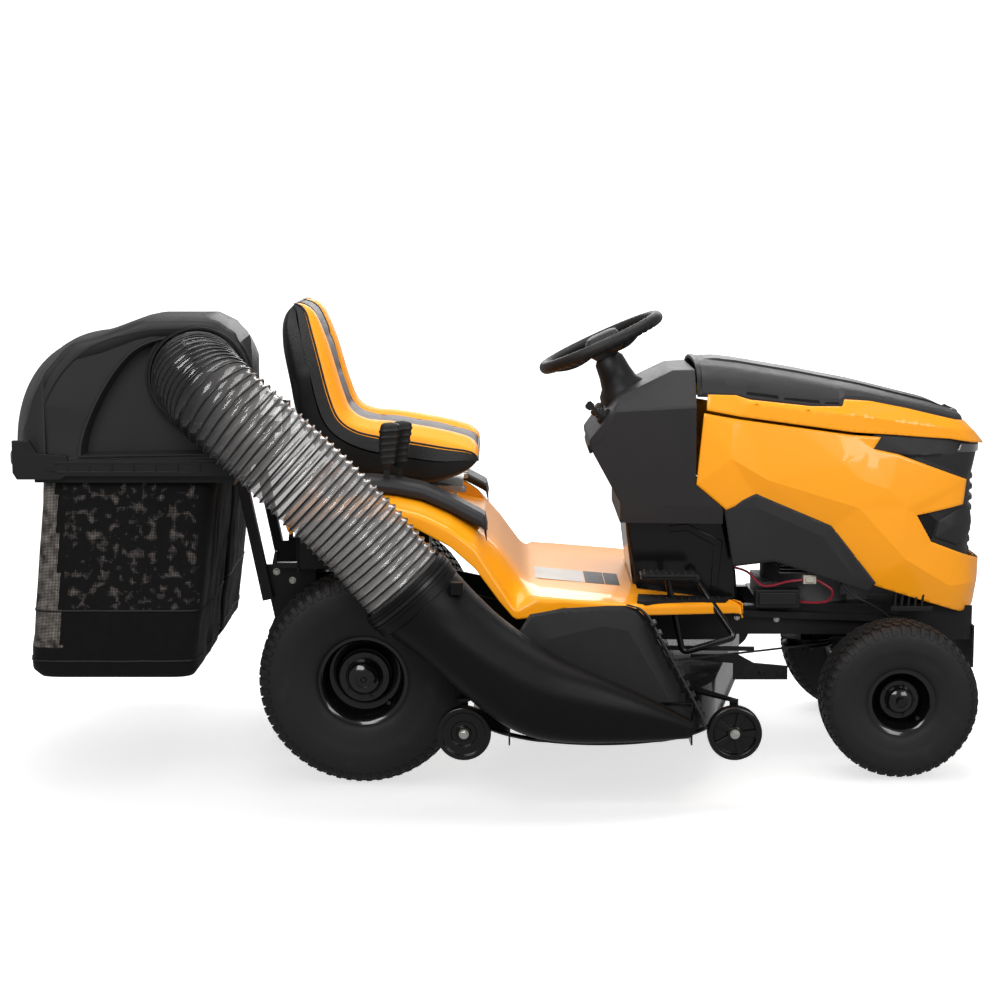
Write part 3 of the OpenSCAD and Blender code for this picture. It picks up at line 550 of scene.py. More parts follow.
backdrop = backdrop.piece("backdrop", glowing(finish("backdrop", "frame_paint", (0.9, 0.9, 0.9), 0.9), 1.0))
backdrop.visible_diffuse = backdrop.visible_glossy = backdrop.visible_shadow = False

# ---- hood ------------------------------------------------------------------

NOSE_TURN = 1186
hood_plan = spline([(480, -240, 0), (700, -240, 0), (900, -235, 0), (1020, -224, 0), (1100, -207, 0),
                    (1150, -187, 0), (1186, -155, 0), (1206, -110, 0), (1217, -55, 0),
                    (1220, 0, 0)], 500)
hood_plan[-1].y = 0
plan_reach = [0.0]
for p, q in zip(hood_plan, hood_plan[1:]):
    plan_reach.append(plan_reach[-1] + (q - p).length)
turn_reach = along([(p.x, s) for p, s in zip(hood_plan, plan_reach)], NOSE_TURN)
NOSE = NOSE_TURN + plan_reach[-1] - turn_reach


def wrap(x, z, out=0.0):
    """A point of the hood's skin. x runs along the side, and from NOSE_TURN on round the nose."""
    if x <= NOSE_TURN:
        s = along([(p.x, r) for p, r in zip(hood_plan[::10], plan_reach[::10])], x)
    else:
        s = turn_reach + x - NOSE_TURN
    i = min(int(s / plan_reach[-1] * (len(hood_plan) - 1)), len(hood_plan) - 2)
    t = (s - plan_reach[i]) / (plan_reach[i + 1] - plan_reach[i])
    p = hood_plan[i].lerp(hood_plan[i + 1], t)
    a, b = hood_plan[max(i - 6, 0)], hood_plan[min(i + 7, len(hood_plan) - 1)]
    d = (b - a).normalized()
    if x >= NOSE - 0.5:
        d = Vector((0, 1, 0))
    tuck = 22 * ((z - 660) / 260) ** 2 if z > 660 else 14 * ((660 - z) / 280) ** 2
    out -= tuck
    return Vector((p.x + d.y * out, p.y - d.x * out, z))


def inside(outline, p):
    """Whether a point lies in an outline, both in the panel's own plane."""
    hit = False
    for a, b in zip(outline, list(outline[1:]) + [outline[0]]):
        if (a[1] > p[1]) != (b[1] > p[1]):
            if p[0] < a[0] + (p[1] - a[1]) / (b[1] - a[1]) * (b[0] - a[0]):
                hit = not hit
    return hit


def rolled_edge(bm, mm):
    """Turns a sheet's free edges inwards by a narrow chamfer, and marks the new edge sharp."""
    bm.normal_update()
    rim = [e for e in bm.edges if e.is_boundary]
    down = {}
    for v in {v for e in rim for v in e.verts}:
        out = Vector()
        for e in v.link_edges:
            if e.is_boundary and e.link_faces:
                f = e.link_faces[0]
                d = (e.verts[1].co - e.verts[0].co).normalized()
                side = d.cross(f.normal)
                if side.dot(e.verts[0].co - f.calc_center_median()) < 0:
                    side.negate()
                out += side
        out = out.normalized() if out.length > 0.01 else Vector()
        down[v] = out * mm * 0.6 - v.normal * mm
    new = bmesh.ops.extrude_edge_only(bm, edges=rim)["geom"]
    moved = [v for v in new if isinstance(v, bmesh.types.BMVert)]
    for v in moved:
        source = min((e.other_vert(v) for e in v.link_edges if e.other_vert(v) in down),
                     key=lambda w: (w.co - v.co).length)
        v.co += down[source]
    for e in bm.edges:
        if e.is_boundary:
            e.smooth = False


def panel(name, outline, lines, material, body, stands_for=(), wall=4.0, skin=wrap, mirror=True,
          mesh_size=11, edge=1.5):
    """A faceted sheet part. outline and lines hold (x, z, out) points; lines are its creases."""
    points = list(outline)
    edges = [(i, (i + 1) % len(outline)) for i in range(len(outline))]
    for line in lines:
        last = None
        for p in line:
            near = [i for i, q in enumerate(points) if abs(q[0] - p[0]) + abs(q[1] - p[1]) < 1]
            if near:
                k = near[0]
            else:
                k = len(points)
                points.append(p)
            if last is not None:
                edges.append((last, k))
            last = k
    co, _, faces, origin, _, _ = delaunay_2d_cdt(
        [Vector((p[0], p[1])) for p in points], edges, [], 1, 0.01, True)
    faces = [f for f in faces
             if inside(outline, sum((co[i] for i in f), Vector((0, 0))) / len(f))]
    bm = bmesh.new()
    verts = []
    for c, source in zip(co, origin):
        depth = points[source[0]][2] if source else 0
        verts.append(bm.verts.new((c.x, c.y, depth)))
    for f in faces:
        bm.faces.new([verts[i] for i in f])
    kept = {frozenset(e) for e in edges[len(outline):]}
    place = {}
    for v, source in enumerate(origin):
        for s in source:
            place[s] = v
    creased = {frozenset(place[i] for i in e) for e in kept}
    bm.verts.index_update()
    for e in bm.edges:
        if frozenset((e.verts[0].index, e.verts[1].index)) in creased:
            e.smooth = False
    for _ in range(8):
        long = [e for e in bm.edges if e.calc_length() > mesh_size]
        if not long:
            break
        bmesh.ops.subdivide_edges(bm, edges=long, cuts=1)
        bmesh.ops.triangulate(bm, faces=bm.faces)
    free = [e for e in bm.edges if e.smooth and not e.is_boundary]
    bmesh.ops.beautify_fill(bm, faces=bm.faces, edges=free)
    bmesh.ops.dissolve_degenerate(bm, dist=0.8, edges=[e for e in bm.edges if not e.is_boundary])
    for v in bm.verts:
        v.co = skin(*v.co)
    if mirror:
        copy = bmesh.ops.duplicate(bm, geom=bm.verts[:] + bm.edges[:] + bm.faces[:])["geom"]
        for v in copy:
            if isinstance(v, bmesh.types.BMVert):
                v.co.y = -v.co.y
        bmesh.ops.reverse_faces(bm, faces=[f for f in copy if isinstance(f, bmesh.types.BMFace)])
        seam = [v for v in bm.verts if abs(v.co.y) < 0.6]
        for v in seam:
            v.co.y = 0
        bmesh.ops.remove_doubles(bm, verts=seam, dist=0.2)
    first = min(bm.faces, key=lambda f: f.calc_center_median().y)
    bm.normal_update()
    if first.normal.y > 0:
        bmesh.ops.reverse_faces(bm, faces=bm.faces)
    rolled_edge(bm, edge)
    for v in bm.verts:
        v.co = at(v.co)
    mesh = bpy.data.meshes.new(name)
    bm.to_mesh(mesh)
    bm.free()
    mesh.materials.append(material)
    mesh.polygons.foreach_set("use_smooth", [True] * len(mesh.polygons))
    obj = linked(name, mesh)
    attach(obj, body)
    for node in stands_for:
        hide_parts(node)
    thicken(obj, wall)
    return obj


panel("hood_side_panels", [
    (504, 875, 0), (596, 859, 2), (735, 840, 3), (873, 821, 3), (941, 816, 2), (922, 787, 1),
    (985, 773, 2), (1165, 705, 2), (1156, 644, 2), (1035, 621, 1), (1075, 552, 1), (1182, 509, 4),
    (1226, 497, 12), (1275, 492, 14), (NOSE, 490, 14), (NOSE, 384, 12), (1265, 378, 12),
    (1225, 370, 8), (1170, 368, 1), (927, 446, -8), (821, 588, -8), (634, 668, -8),
    (561, 636, -8), (486, 700, -3)], [
    [(486, 700, -3), (571, 765, 9), (571, 850, 5)],
    [(571, 765, 9), (661, 712, 9), (888, 642, 12), (1006, 512, 12), (1124, 440, 9),
     (1225, 440, 14), (NOSE, 440, 20)],
    [(848, 752, 10), (900, 784, 4)],
    [(890, 712, 11), (962, 688, 9), (1005, 640, 5), (1035, 621, 1)]],
    yellow, "hood", ["hood_body"])

panel("hood_brow", [
    (513, 921, 0), (582, 919, 1), (617, 909, 3), (769, 893, 4), (845, 892, 4), (851, 909, 1),
    (913, 905, 1), (1010, 886, 1), (1136, 856, 0), (1190, 850, -18), (1245, 848, -38),
    (NOSE, 848, -42), (NOSE, 791, 17), (1245, 790, 17), (1170, 800, 14), (1115, 811, 10),
    (977, 823, 7), (873, 830, 7), (735, 849, 7), (596, 868, 5), (510, 884, 3)], [
    [(617, 900, 8), (870, 872, 11), (1120, 835, 13), (1190, 825, 6), (1245, 820, -8),
     (NOSE, 820, -12)]], yellow, "hood")

panel("grille_shell", [
    (925, 824, -5), (1115, 815, -3), (1236, 794, 4), (NOSE, 795, 4), (NOSE, 482, -14),
    (1225, 484, -14), (1180, 496, -12), (1070, 538, -10), (1024, 612, -9), (1100, 636, -8),
    (970, 770, -8), (918, 787, -6)], [
    [(918, 787, -6), (1029, 770, -2), (1113, 771, 0), (1225, 776, 1), (NOSE, 776, 1)],
    [(1029, 768, -6), (1168, 716, -8), (1225, 706, -16), (NOSE, 704, -18)],
    [(1100, 636, -8), (1158, 648, -9), (1225, 650, -18), (NOSE, 650, -20)]],
    charcoal, "hood", ["grille"])

# A flat near-black sheet in the grille mouth: painted shade of the opening behind it.
panel("grille_mouth", [(1040, 618, -6), (1062, 626, -6), (1092, 604, -7), (1080, 560, -7), (1068, 566, -6)],
      [], soot_and_opening_shade, "hood", wall=1)
panel("grille_facet", [(1098, 606, -6), (1150, 632, -7), (1196, 632, -9), (1196, 556, -9),
                       (1150, 540, -7), (1088, 562, -6)],
      [[(1098, 606, -6), (1130, 590, -1), (1196, 594, -3)], [(1130, 590, -1), (1088, 562, -6)]],
      charcoal, "hood", wall=3)
panel("headlamp_lenses", [(1150, 796, 3), (1236, 786, 6), (1318, 786, 6), (1308, 770, 5),
                          (1236, 770, 4), (1140, 776, 2)], [], lens, "hood", wall=2)

slats = Shape()
for z in range(510, 760, 27):
    line = [wrap(x, z, -11 if x > NOSE_TURN + 40 else -13) for x in
            [lerp(1190, NOSE, k / 14) for k in range(15)]]
    deep = [wrap(x, z, -24) for x in [lerp(1190, NOSE, k / 14) for k in range(15)]]
    rise = Vector((0, 0, 9))
    slats.grid([deep, line, [p + rise for p in line], [p + rise for p in deep]], round_line=True)
bevelled(slats.mirrored().piece("grille_slats", black_plastic, "hood"), 1.5)

CROWN_EDGE = [(487, 921), (582, 919), (617, 909), (769, 893), (845, 892), (851, 908), (913, 905),
              (1010, 886), (1136, 856), (1190, 850), (NOSE, 849)]
CROWN_BACK = [(1100, 2), (1190, -20), (1245, -40), (NOSE, -44)]
CROWN_TOP = [(487, 998), (512, 1002), (600, 992), (753, 966), (900, 936), (1085, 890), (1150, 868),
             (1180, 852)]
CROWN_RISE = [(0, 0), (0.035, 0.3), (0.1, 0.55), (0.17, 0.7), (0.3, 0.83), (0.6, 0.96), (1, 1)]


def crown(x, t, lift=0.0):
    """A point of the crown: t is 0 at its side edge and 1 on the centre line."""
    edge = wrap(x, along(CROWN_EDGE, x) - 5 * (t == 0), along(CROWN_BACK, x) - 2)
    centre_x = edge.x - 30 * max(0, (x - 1000) / (NOSE - 1000)) ** 2
    top = max(along(CROWN_TOP, centre_x), edge.z + 2)
    return Vector((lerp(edge.x, centre_x, t), lerp(edge.y, 0, t),
                   lerp(edge.z, top, along(CROWN_RISE, t)) + lift))


crown_steps = [487, 492, 505] + [lerp(520, 1130, k / 44) for k in range(45)] \
    + [lerp(1140, NOSE, k / 22) for k in range(23)]
cols = [0, 0.012, 0.035, 0.1, 0.16, 0.18, 0.24, 0.3, 0.4, 0.5, 0.6, 0.72, 0.86, 1]
top = Shape().grid([[crown(x, t) for t in cols] for x in crown_steps]).mirrored()
top = top.piece("hood_crown", charcoal, "hood", ["hood_top"], sharp=18)
thicken(top, 5)

rib = Shape()
rib_cols = [0.66, 0.68, 0.74, 0.86, 1]
rib.grid([[crown(x, t, 0 if t < 0.67 else 5 * min(1, (x - 515) / 30, (1150 - x) / 40)) for t in rib_cols]
          for x in [lerp(516, 1149, k / 40) for k in range(41)]])
rib.mirrored().piece("hood_centre_rib", black_plastic, "hood", sharp=20)

# The vent slots are near-black boxes: painted shade in the openings.
vents = Shape()
for x0, x1, low, high in ((604, 690, 4, 17), (697, 792, 4, 14), (798, 840, 3, 10)):
    ring = [wrap(x, along(CROWN_EDGE, x) + h, -1.5) for x, h in
            ((x0, low), (x1, low), (x1 - 4, high), (x0 + 6, high))]
    ring += [p + Vector((0, 4, 0)) for p in ring]
    vents.add(ring, BOX_FACES)
vents.mirrored().piece("hood_vents", soot_and_opening_shade, "hood")

lip = Shape()
lip.grid([[crown(x, t, h) for t in cols]
          for x, h in ((487, -2), (487, 4), (491, 5.5), (497, 4.5), (499, 0))])
lip.mirrored().piece("hood_rear_lip", black_plastic, "hood", sharp=30)

# ---- console, pedestal and lower panels ------------------------------------

console = Shape()
side = {
    "rear_low": (299, 600, 205), "rear": (299, 650, 214), "waist": (224, 786, 190),
    "shelf": (222, 804, 188), "crease": (284, 880, 212), "top_rear": (302, 914, 168),
    "top": (431, 977, 160), "top_front": (484, 979, 172), "edge": (484, 893, 236),
    "front": (484, 700, 238), "front_low": (553, 640, 233), "base": (553, 600, 226),
    "bend": (252, 808, 207), "belt": (397, 643, 216)}
ids = {k: i for i, k in enumerate(side)}
near = [(x, -y, z) for x, z, y in side.values()]
far = [(x, y, z) for x, z, y in side.values()]
count = len(near)
facets = [
    ("top_rear", "top", "top_front", "edge", "crease"), ("crease", "edge", "front", "front_low", "bend"),
    ("bend", "front_low", "belt", "rear", "waist"), ("rear", "belt", "base", "rear_low"),
    ("belt", "front_low", "base"), ("waist", "shelf", "crease", "bend"),
    ("shelf", "top_rear", "crease")]
spine = ["rear_low", "rear", "waist", "shelf", "top_rear", "top", "top_front"]
faces = [[ids[k] for k in f] for f in facets] + [[count + ids[k] for k in reversed(f)] for f in facets]
faces += [[ids[a], ids[b], count + ids[b], count + ids[a]] for a, b in zip(spine, spine[1:])]
console.add(near + far, faces)
console = console.piece("dash_console", charcoal, "chassis", ["dash_panel"], sharp=8)
bevelled(console, 5, 3, 6)

pod = Shape()
pod.prism([(286, 838), (300, 902), (332, 916), (318, 850)], -190, 190)
pod.prism([(226, 760), (221, 782), (232, 800), (240, 770)], -120, 120)
bevelled(pod.piece("dash_control_plate", black_plastic, "chassis"), 5, 3)
collar_dir = Vector((-math.sin(math.radians(24.7)), 0, math.cos(math.radians(24.7))))
cowl = Shape().lathe([(0, -150), (66, -150), (61, -128), (48, -112), (42, -86), (38, -50), (30, -40),
                      (0, -40)], (258, 0, 1036), collar_dir, 40)
cowl.piece("column_cowl", black_plastic, "chassis", ["column_boot"])

box_line = [(311, 640), (318, 560), (336, 420), (350, 400), (470, 392), (600, 396), (594, 470),
            (566, 600), (553, 640)]
foot = Shape().prism(box_line, -168, 168)
bevelled(foot.piece("steering_pedestal", gloss_black, "chassis", ["pedestal"], sharp=25), 12, 4, 20)
inlay = Shape()
for y in (-171, 165):
    inlay.prism([(424, 588), (470, 592), (560, 548), (548, 430), (530, 430), (536, 538), (468, 574),
                 (424, 570)], y, y + 6)
bevelled(inlay.piece("pedestal_ribs", gloss_black, "chassis"), 2.5, 3)


def flat_side(x, z, out=0.0):
    return Vector((x, -228 - out, z))


panel("lower_side_panels", [(556, 640, 2), (580, 493, 0), (683, 506, 0), (921, 430, 0), (935, 452, 4),
                            (821, 596, 8), (634, 676, 8)],
      [[(556, 640, 2), (640, 640, 10), (800, 570, 10), (885, 460, 2)], [(800, 570, 10), (821, 596, 8)],
       [(640, 640, 10), (750, 520, 3), (760, 481, 0)]],
      charcoal, "chassis", ["lower_panels"], skin=flat_side, wall=3)

# ---- fenders and floor -----------------------------------------------------

FENDER_TOP = [(-518, 645), (-505, 672), (-470, 692), (-400, 703), (-314, 708), (-250, 705), (-191, 692),
              (-120, 662), (-60, 622), (0, 556), (36, 507), (55, 480), (75, 463), (100, 458),
              (333, 438), (590, 406), (600, 400)]
FENDER_LOW = [(-518, 640), (-505, 600), (-470, 632), (-390, 645), (-314, 645), (-200, 618), (-120, 575),
              (-60, 522), (0, 440), (36, 398), (75, 402), (150, 425), (333, 408), (590, 374), (600, 371)]
EDGE_DROP = [(-518, 4), (-500, 20), (-400, 32), (-157, 38), (-64, 46), (-7, 72), (36, 84), (60, 38),
             (85, 6), (600, 3)]
FENDER_WIDTH = [(-518, 415), (-500, 428), (333, 430), (600, 218)]
SEAT_DECK = [(-518, 640), (-470, 640), (-314, 645), (-191, 632), (-40, 600), (0, 556), (36, 507),
             (55, 480), (75, 463), (100, 458), (333, 438), (350, 436)]


def fender_row(x):
    """The fender's section at x, from its inner edge over the top and down its side."""
    top, low, drop = along(FENDER_TOP, x), along(FENDER_LOW, x), along(EDGE_DROP, x)
    width = along(FENDER_WIDTH, x)
    curve = min(16, (top - drop - low) * 0.45)
    row = []
    for k in range(15):
        t = k / 14
        row.append(Vector((x, -lerp(222, width - curve, t), top - drop * t ** 2.4)))
    end = row[-1]
    for k in range(1, 7):
        a = math.pi / 2 * k / 6
        row.append(Vector((x, end.y - curve * math.sin(a), end.z - curve * (1 - math.cos(a)))))
    row.append(Vector((x, -width, low + 3)))
    row.append(Vector((x, -width + 2, low)))
    row.append(Vector((x, -width + 9, low)))
    return row


fender_steps = [lerp(-518, -460, k / 7) for k in range(8)] + [lerp(-448, 100, k / 55) for k in range(56)] \
    + [lerp(112, 598, k / 36) for k in range(37)]
fender = Shape()
fender.grid([fender_row(x) for x in fender_steps])
lip_rows = [fender_row(598)]
lip_rows.append([Vector((604, p.y * 0.995, p.z - 5)) for p in lip_rows[0]])
lip_rows.append([Vector((605, p.y * 0.99, min(p.z - 12, 372))) for p in lip_rows[0]])
fender.grid(lip_rows)
inner = [[Vector((x, -222, along(FENDER_TOP, x))), Vector((x, -222, along(SEAT_DECK, x)))]
         for x in fender_steps if x < 0]
fender.grid(inner)
fender.mirrored()
deck_steps = [x for x in fender_steps if x < 350]
fender.grid([[Vector((x, y, along(SEAT_DECK, x))) for y in (-222, -120, 0, 120, 222)] for x in deck_steps])
fender.grid([[Vector((-518, y, z)) for y in (-222, 0, 222)] for z in (640, 600)])
fender = fender.piece("fender_body", yellow, "chassis", ["fender"], sharp=28)
thicken(fender, 3)


def rail_row(p, tilt):
    """The trim rail's section: a flat top between two bevels."""
    x, z = p
    return [Vector((x + dx * tilt, -y, z + dz)) for y, dz, dx in
            ((252, -20, 0), (250, -4, 0), (256, 2, 0), (292, 6, 1), (350, 4, 1), (362, -2, 0),
             (370, -12, 0), (372, -28, 0))]


rail_line = spaced([(-425, 718, 0), (-370, 727, 0), (-314, 729, 0), (-250, 722, 0), (-185, 709, 0),
                    (-120, 680, 0), (-46, 641, 0)], 30)
trim = Shape()
rows = [rail_row((p.x, p.y), 2) for p in rail_line]
rows.append([p + Vector((8, 0, -6)) for p in rows[-1]])
rows.append([Vector((p.x + 6, p.y, p.z - 26)) for p in rows[-1]])
trim.grid([[p + Vector((-2, 0, -24)) for p in rows[0]]] + rows)
trim.mirrored()
trim = trim.piece("fender_trim_rails", charcoal, "chassis", ["fender_trim"], sharp=14)
thicken(trim, 3)

slot_plate = Shape()
cover_line = [(330, -412), (352, -414), (372, -392), (392, -372), (452, -322), (560, -246), (572, -222),
              (560, -214), (520, -226), (450, -262), (380, -300), (338, -318)]
slot_plate.add([(x, y, along(FENDER_TOP, x) + 3.5) for x, y in cover_line]
               + [(x, y, along(FENDER_TOP, x) - 6) for x, y in cover_line],
               [list(range(12)), list(range(23, 11, -1))] + [[i, (i + 1) % 12, 12 + (i + 1) % 12, 12 + i]
                                                           for i in range(12)])
for k in range(9):
    x, y = lerp(385, 540, k / 8), lerp(-345, -238, k / 8)
    slot_plate.block((x, y - 14, along(FENDER_TOP, x) + 2), (x + 6, y + 14, along(FENDER_TOP, x) + 6))
bevelled(slot_plate.piece("pedal_slot_gaiter", grip_rubber, "chassis"), 1)

sheet_label = Shape()
for x0, x1, pick in ((88, 212, 0), (214, 262, 1), (264, 300, 1)):
    sheet_label.add([(x, y, along(SEAT_DECK, x) + 0.8 - 0.6 * low) for low in (0, 1) for x, y in
                     ((x0, -205), (x1, -205), (x1, -40), (x0, -40))],
                    BOX_FACES, pick)
sheet_label.piece("floor_label_blank", [label, charcoal], "chassis")

# ---- wheels ----------------------------------------------------------------

def tyre(name, node, body, centre, out, d, w, bead, lugs):
    """A turf tyre: a turned casing with rows of blocks on its tread and shoulders."""
    outer = spline([(bead, -0.33 * w, 0), (bead + 5, -0.38 * w, 0), (bead + 18, -0.45 * w, 0),
                    (0.335 * d, -0.495 * w, 0), (0.375 * d, -0.5 * w, 0), (0.425 * d, -0.485 * w, 0),
                    (0.462 * d, -0.44 * w, 0), (0.48 * d, -0.36 * w, 0), (0.487 * d, -0.2 * w, 0),
                    (0.489 * d, 0, 0), (0.487 * d, 0.2 * w, 0), (0.48 * d, 0.36 * w, 0),
                    (0.462 * d, 0.44 * w, 0), (0.425 * d, 0.485 * w, 0), (0.375 * d, 0.5 * w, 0),
                    (0.335 * d, 0.495 * w, 0), (bead + 18, 0.45 * w, 0), (bead + 5, 0.38 * w, 0),
                    (bead, 0.33 * w, 0)], 81)
    ring = [(p.x + 1.6 * (i in (11, 12, 68, 69)), p.y) for i, p in enumerate(outer)]
    shape = Shape().lathe(ring + [(bead + 8, 0.3 * w), (bead + 8, -0.3 * w)], centre, out, 96, closed=True)
    axis = Vector(out)
    u = Vector((1, 0, 0))
    v = axis.cross(u)
    height = 0.5 * d - 0.4885 * d

    def tread(i, angle, rise):
        a, b = outer[max(i - 1, 0)], outer[min(i + 1, 80)]
        n = Vector((b.y - a.y, a.x - b.x)).normalized()
        if n.x < 0:
            n.negate()
        r, h = outer[i].x + n.x * rise, outer[i].y + n.y * rise
        return Vector(centre) + axis * h + r * (math.cos(angle) * u + math.sin(angle) * v)

    pitch = 2 * math.pi / lugs
    rows = [(23, 29, 0.0, 0.30, 0.0), (31, 35, 0.5, 0.34, 0.25), (38, 42, 0.0, 0.34, 0.0),
            (45, 49, 0.5, 0.34, -0.25), (51, 57, 0.0, 0.30, 0.0)]
    for i0, i1, shift, half, skew in rows:
        steps = list(range(i0, i1 + 1, 2 if i1 - i0 < 6 else 3))
        if steps[-1] != i1:
            steps.append(i1)
        for k in range(lugs):
            mid = (k + shift) * pitch
            grid = []
            for side, rise in ((-1, -1.0), (-1, height), (1, height), (1, -1.0)):
                taper = 1 if rise < 0 else 0.8
                grid.append([tread(i, mid + side * half * taper * pitch
                                   + skew * pitch * (i - (i0 + i1) / 2) / (i1 - i0),
                                   rise * (0.35 if i in (steps[0], steps[-1]) and i in (23, 57)
                                           else 1))
                             for i in steps])
            shape.grid(grid)
            for j in (0, -1):
                ends = [row[j] for row in grid]
                shape.add(ends, [[0, 1, 2, 3]])
    return shape.piece(name, rubber, body, [node], sharp=35, weld=0.01)


def rim(name, node, body, centre, out, w, bead, hub):
    """A pressed steel rim: flanges, a drop centre, a dished disc and a domed hub cap."""
    face = [(bead + 9, 0.37 * w), (bead + 10, 0.385 * w), (bead + 8, 0.395 * w), (bead + 4, 0.385 * w),
            (bead - 1, 0.375 * w), (bead - 5, 0.35 * w), (bead - 9, 0.26 * w), (bead - 11, 0.12 * w),
            (bead - 15, 0.03 * w), (hub * 1.62, 0.01 * w), (hub * 1.52, 0.03 * w), (hub * 1.46, 0.15 * w),
            (hub * 1.36, 0.175 * w), (hub * 1.04, 0.17 * w), (hub, 0.185 * w), (hub * 0.96, 0.25 * w),
            (hub * 0.84, 0.31 * w), (hub * 0.62, 0.345 * w), (hub * 0.42, 0.355 * w),
            (hub * 0.40, 0.34 * w), (hub * 0.18, 0.338 * w), (hub * 0.12, 0.35 * w), (0.1, 0.35 * w)]
    back = [(0.1, -0.06 * w), (bead - 16, -0.06 * w), (bead - 14, -0.2 * w), (bead - 6, -0.34 * w),
            (bead + 8, -0.39 * w), (bead + 10, -0.38 * w), (bead, -0.34 * w), (bead - 6, -0.2 * w),
            (bead - 6, 0.2 * w), (bead, 0.34 * w)]
    shape = Shape().lathe(face + back, centre, out, 72, closed=True)
    axis = Vector(out)
    slant = Vector((0, 0, -1)).lerp(Vector((1, 0, 0)), 0.5).normalized()
    stem = Vector(centre) + axis * 0.1 * w + slant * (bead - 16)
    shape.tube([stem, stem + axis * 26], 4, 10)
    shape.tube([stem + axis * 24, stem + axis * 34], 5, 10)
    for a in around(5):
        p = Vector(centre) + axis * 0.172 * w + hub * 1.2 * Vector((math.cos(a), 0, math.sin(a)))
        shape.lathe([(0.1, 0), (5, 0), (4, 3), (0.1, 4)], p, out, 12)
    return shape.piece(name, rim_black, body, [node], sharp=30, weld=0.01)


for label_, s in (("right", -1), ("left", 1)):
    out = (0, s, 0)
    rear = (AXLE_X, s * (480 - 101.5), 254)
    front = (FRONT_AXLE_X, s * (430 - 75), 190.5)
    body = "rear_wheel_" + label_
    tyre("rear_tyre_tread_" + label_, "rear_tyre_" + label_, body, rear, out, 508, 203, 101, 62)
    rim("rear_rim_pressed_" + label_, "rear_rim_" + label_, body, rear, out, 203, 101, 44)
    body = "front_wheel_" + label_
    tyre("front_tyre_tread_" + label_, "front_tyre_" + label_, body, front, out, 381, 150, 75, 48)
    rim("front_rim_pressed_" + label_, "front_rim_" + label_, body, front, out, 150, 75, 34)

for end, s, x, spoked in (("front_right", -1, 545, True), ("rear_right", -1, -84, False),
                          ("front_left", 1, 660, True), ("rear_left", 1, 30, False)):
    low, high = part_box("gauge_wheel_" + end)
    mid = (low + high) / 2 - ORIGIN
    centre = Vector((mid.x * 1000, (611 + 17) * s, mid.z * 1000))
    out = Vector((0, s, 0))
    wheel = Shape()
    wheel.lathe([(48, -17), (58, -17), (62, -15), (63.4, -11), (63.4, 11), (62, 15), (58, 17), (52, 17),
                 (49, 14)] + ([(48, 4)] if spoked else [(30, 11), (29, 8)])
                + [(18, 4 if spoked else 8), (17, 14), (12, 16), (0.1, 16), (0.1, -16), (17, -16)],
                centre, out, 56, closed=True)
    if spoked:
        for a in around(5):
            turn = Matrix.Rotation(a, 4, "Y")
            spoke = Shape().prism([(14, -5), (50, -9), (50, 9), (14, 5)], 0, 9)
            spoke.turned(Matrix.Translation(centre + out * 4) @ turn @ Matrix.Scale(s, 4, (0, 1, 0)))
            wheel.add(spoke.verts, spoke.faces)
    wheel = wheel.piece("gauge_wheel_moulded_" + end, gloss_black, "gauge_" + end, ["gauge_wheel_" + end])
    bevelled(wheel, 1.2)
    nut = Shape().bolt(centre + out * 15.5, out, 9, 8)
    nut.piece("gauge_nut_" + end, steel, "gauge_" + end, sharp=25)

# ---- deck, boot and deflector ----------------------------------------------

skirt = [(v.co - ORIGIN) * 1000 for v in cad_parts["deck_shell"].data.vertices]
floor_z = min(v.z for v in skirt)
rim_points = sorted({(round(v.x), round(v.y)) for v in skirt if v.z < floor_z + 1})
outline = hull([p for p in rim_points if p[1] > -560])
rolled = spaced([(x, y, floor_z + 4) for x, y in outline] + [(*outline[0], floor_z + 4)], 160)
Shape().tube(rolled, 5.5, 10).piece("deck_rolled_rim", gloss_black, "deck")

BOOT = [((-111, 553), (-267, 412), -608, 112), ((-88, 530), (-245, 392), -609, 111),
        ((-60, 500), (-212, 370), -616, 109), ((0, 446), (-162, 333), -640, 105),
        ((65, 402), (-105, 288), -665, 99), ((138, 359), (-46, 241), -688, 92),
        ((230, 318), (40, 190), -696, 80), ((323, 274), (139, 168), -688, 64),
        ((400, 232), (280, 164), -672, 48), ((458, 196), (430, 166), -656, 30)]
stations = 44
controls = [spline([(u[0], yc, u[1]) for u, _, yc, _ in BOOT], stations),
            spline([(low[0], hd, low[1]) for _, low, _, hd in BOOT], stations)]
boot = Shape()
rows = []
for i in range(stations):
    u, low = controls[0][i], controls[1][i]
    centre = Vector(((u.x + low.x) / 2, u.y, (u.z + low.z) / 2))
    half = Vector(((u.x - low.x) / 2, 0, (u.z - low.z) / 2))
    depth = low.y
    share = i / (stations - 1)
    square = lerp(1.0, 0.62, share)
    row = []
    for a in around(48):
        c, sine = math.cos(a), math.sin(a)
        bump = 0
        if sine < 0:
            ridge = lerp(0.0, 0.35, share)
            bump = 7 * math.exp(-((c - ridge) / 0.16) ** 2) * min(1, share * 4) * (1 - share)
        row.append(centre + half * math.copysign(abs(c) ** square, c)
                   + Vector((0, 1, 0)) * (depth * math.copysign(abs(sine) ** square, sine) - bump))
    rows.append(row)
boot.grid(rows, round_rows=True)
boot = boot.piece("discharge_boot", boot_black, "deck", ["chute_boot"], sharp=50)
thicken(boot, 4)
cuff_dir = Vector((-0.66, 0, 0.75)).normalized()
cuff_at = Vector((-190, -608, 476))
cuff = Shape().lathe([(110, -8), (114, -6), (115, 14), (118, 15), (118, 22), (115, 23), (115, 34),
                      (118, 35), (118, 42), (114, 43), (113, 52), (108, 52), (108, -8)],
                     cuff_at, cuff_dir, 72, closed=True)
cuff.block((-112, -700, 508), (-84, -672, 536))
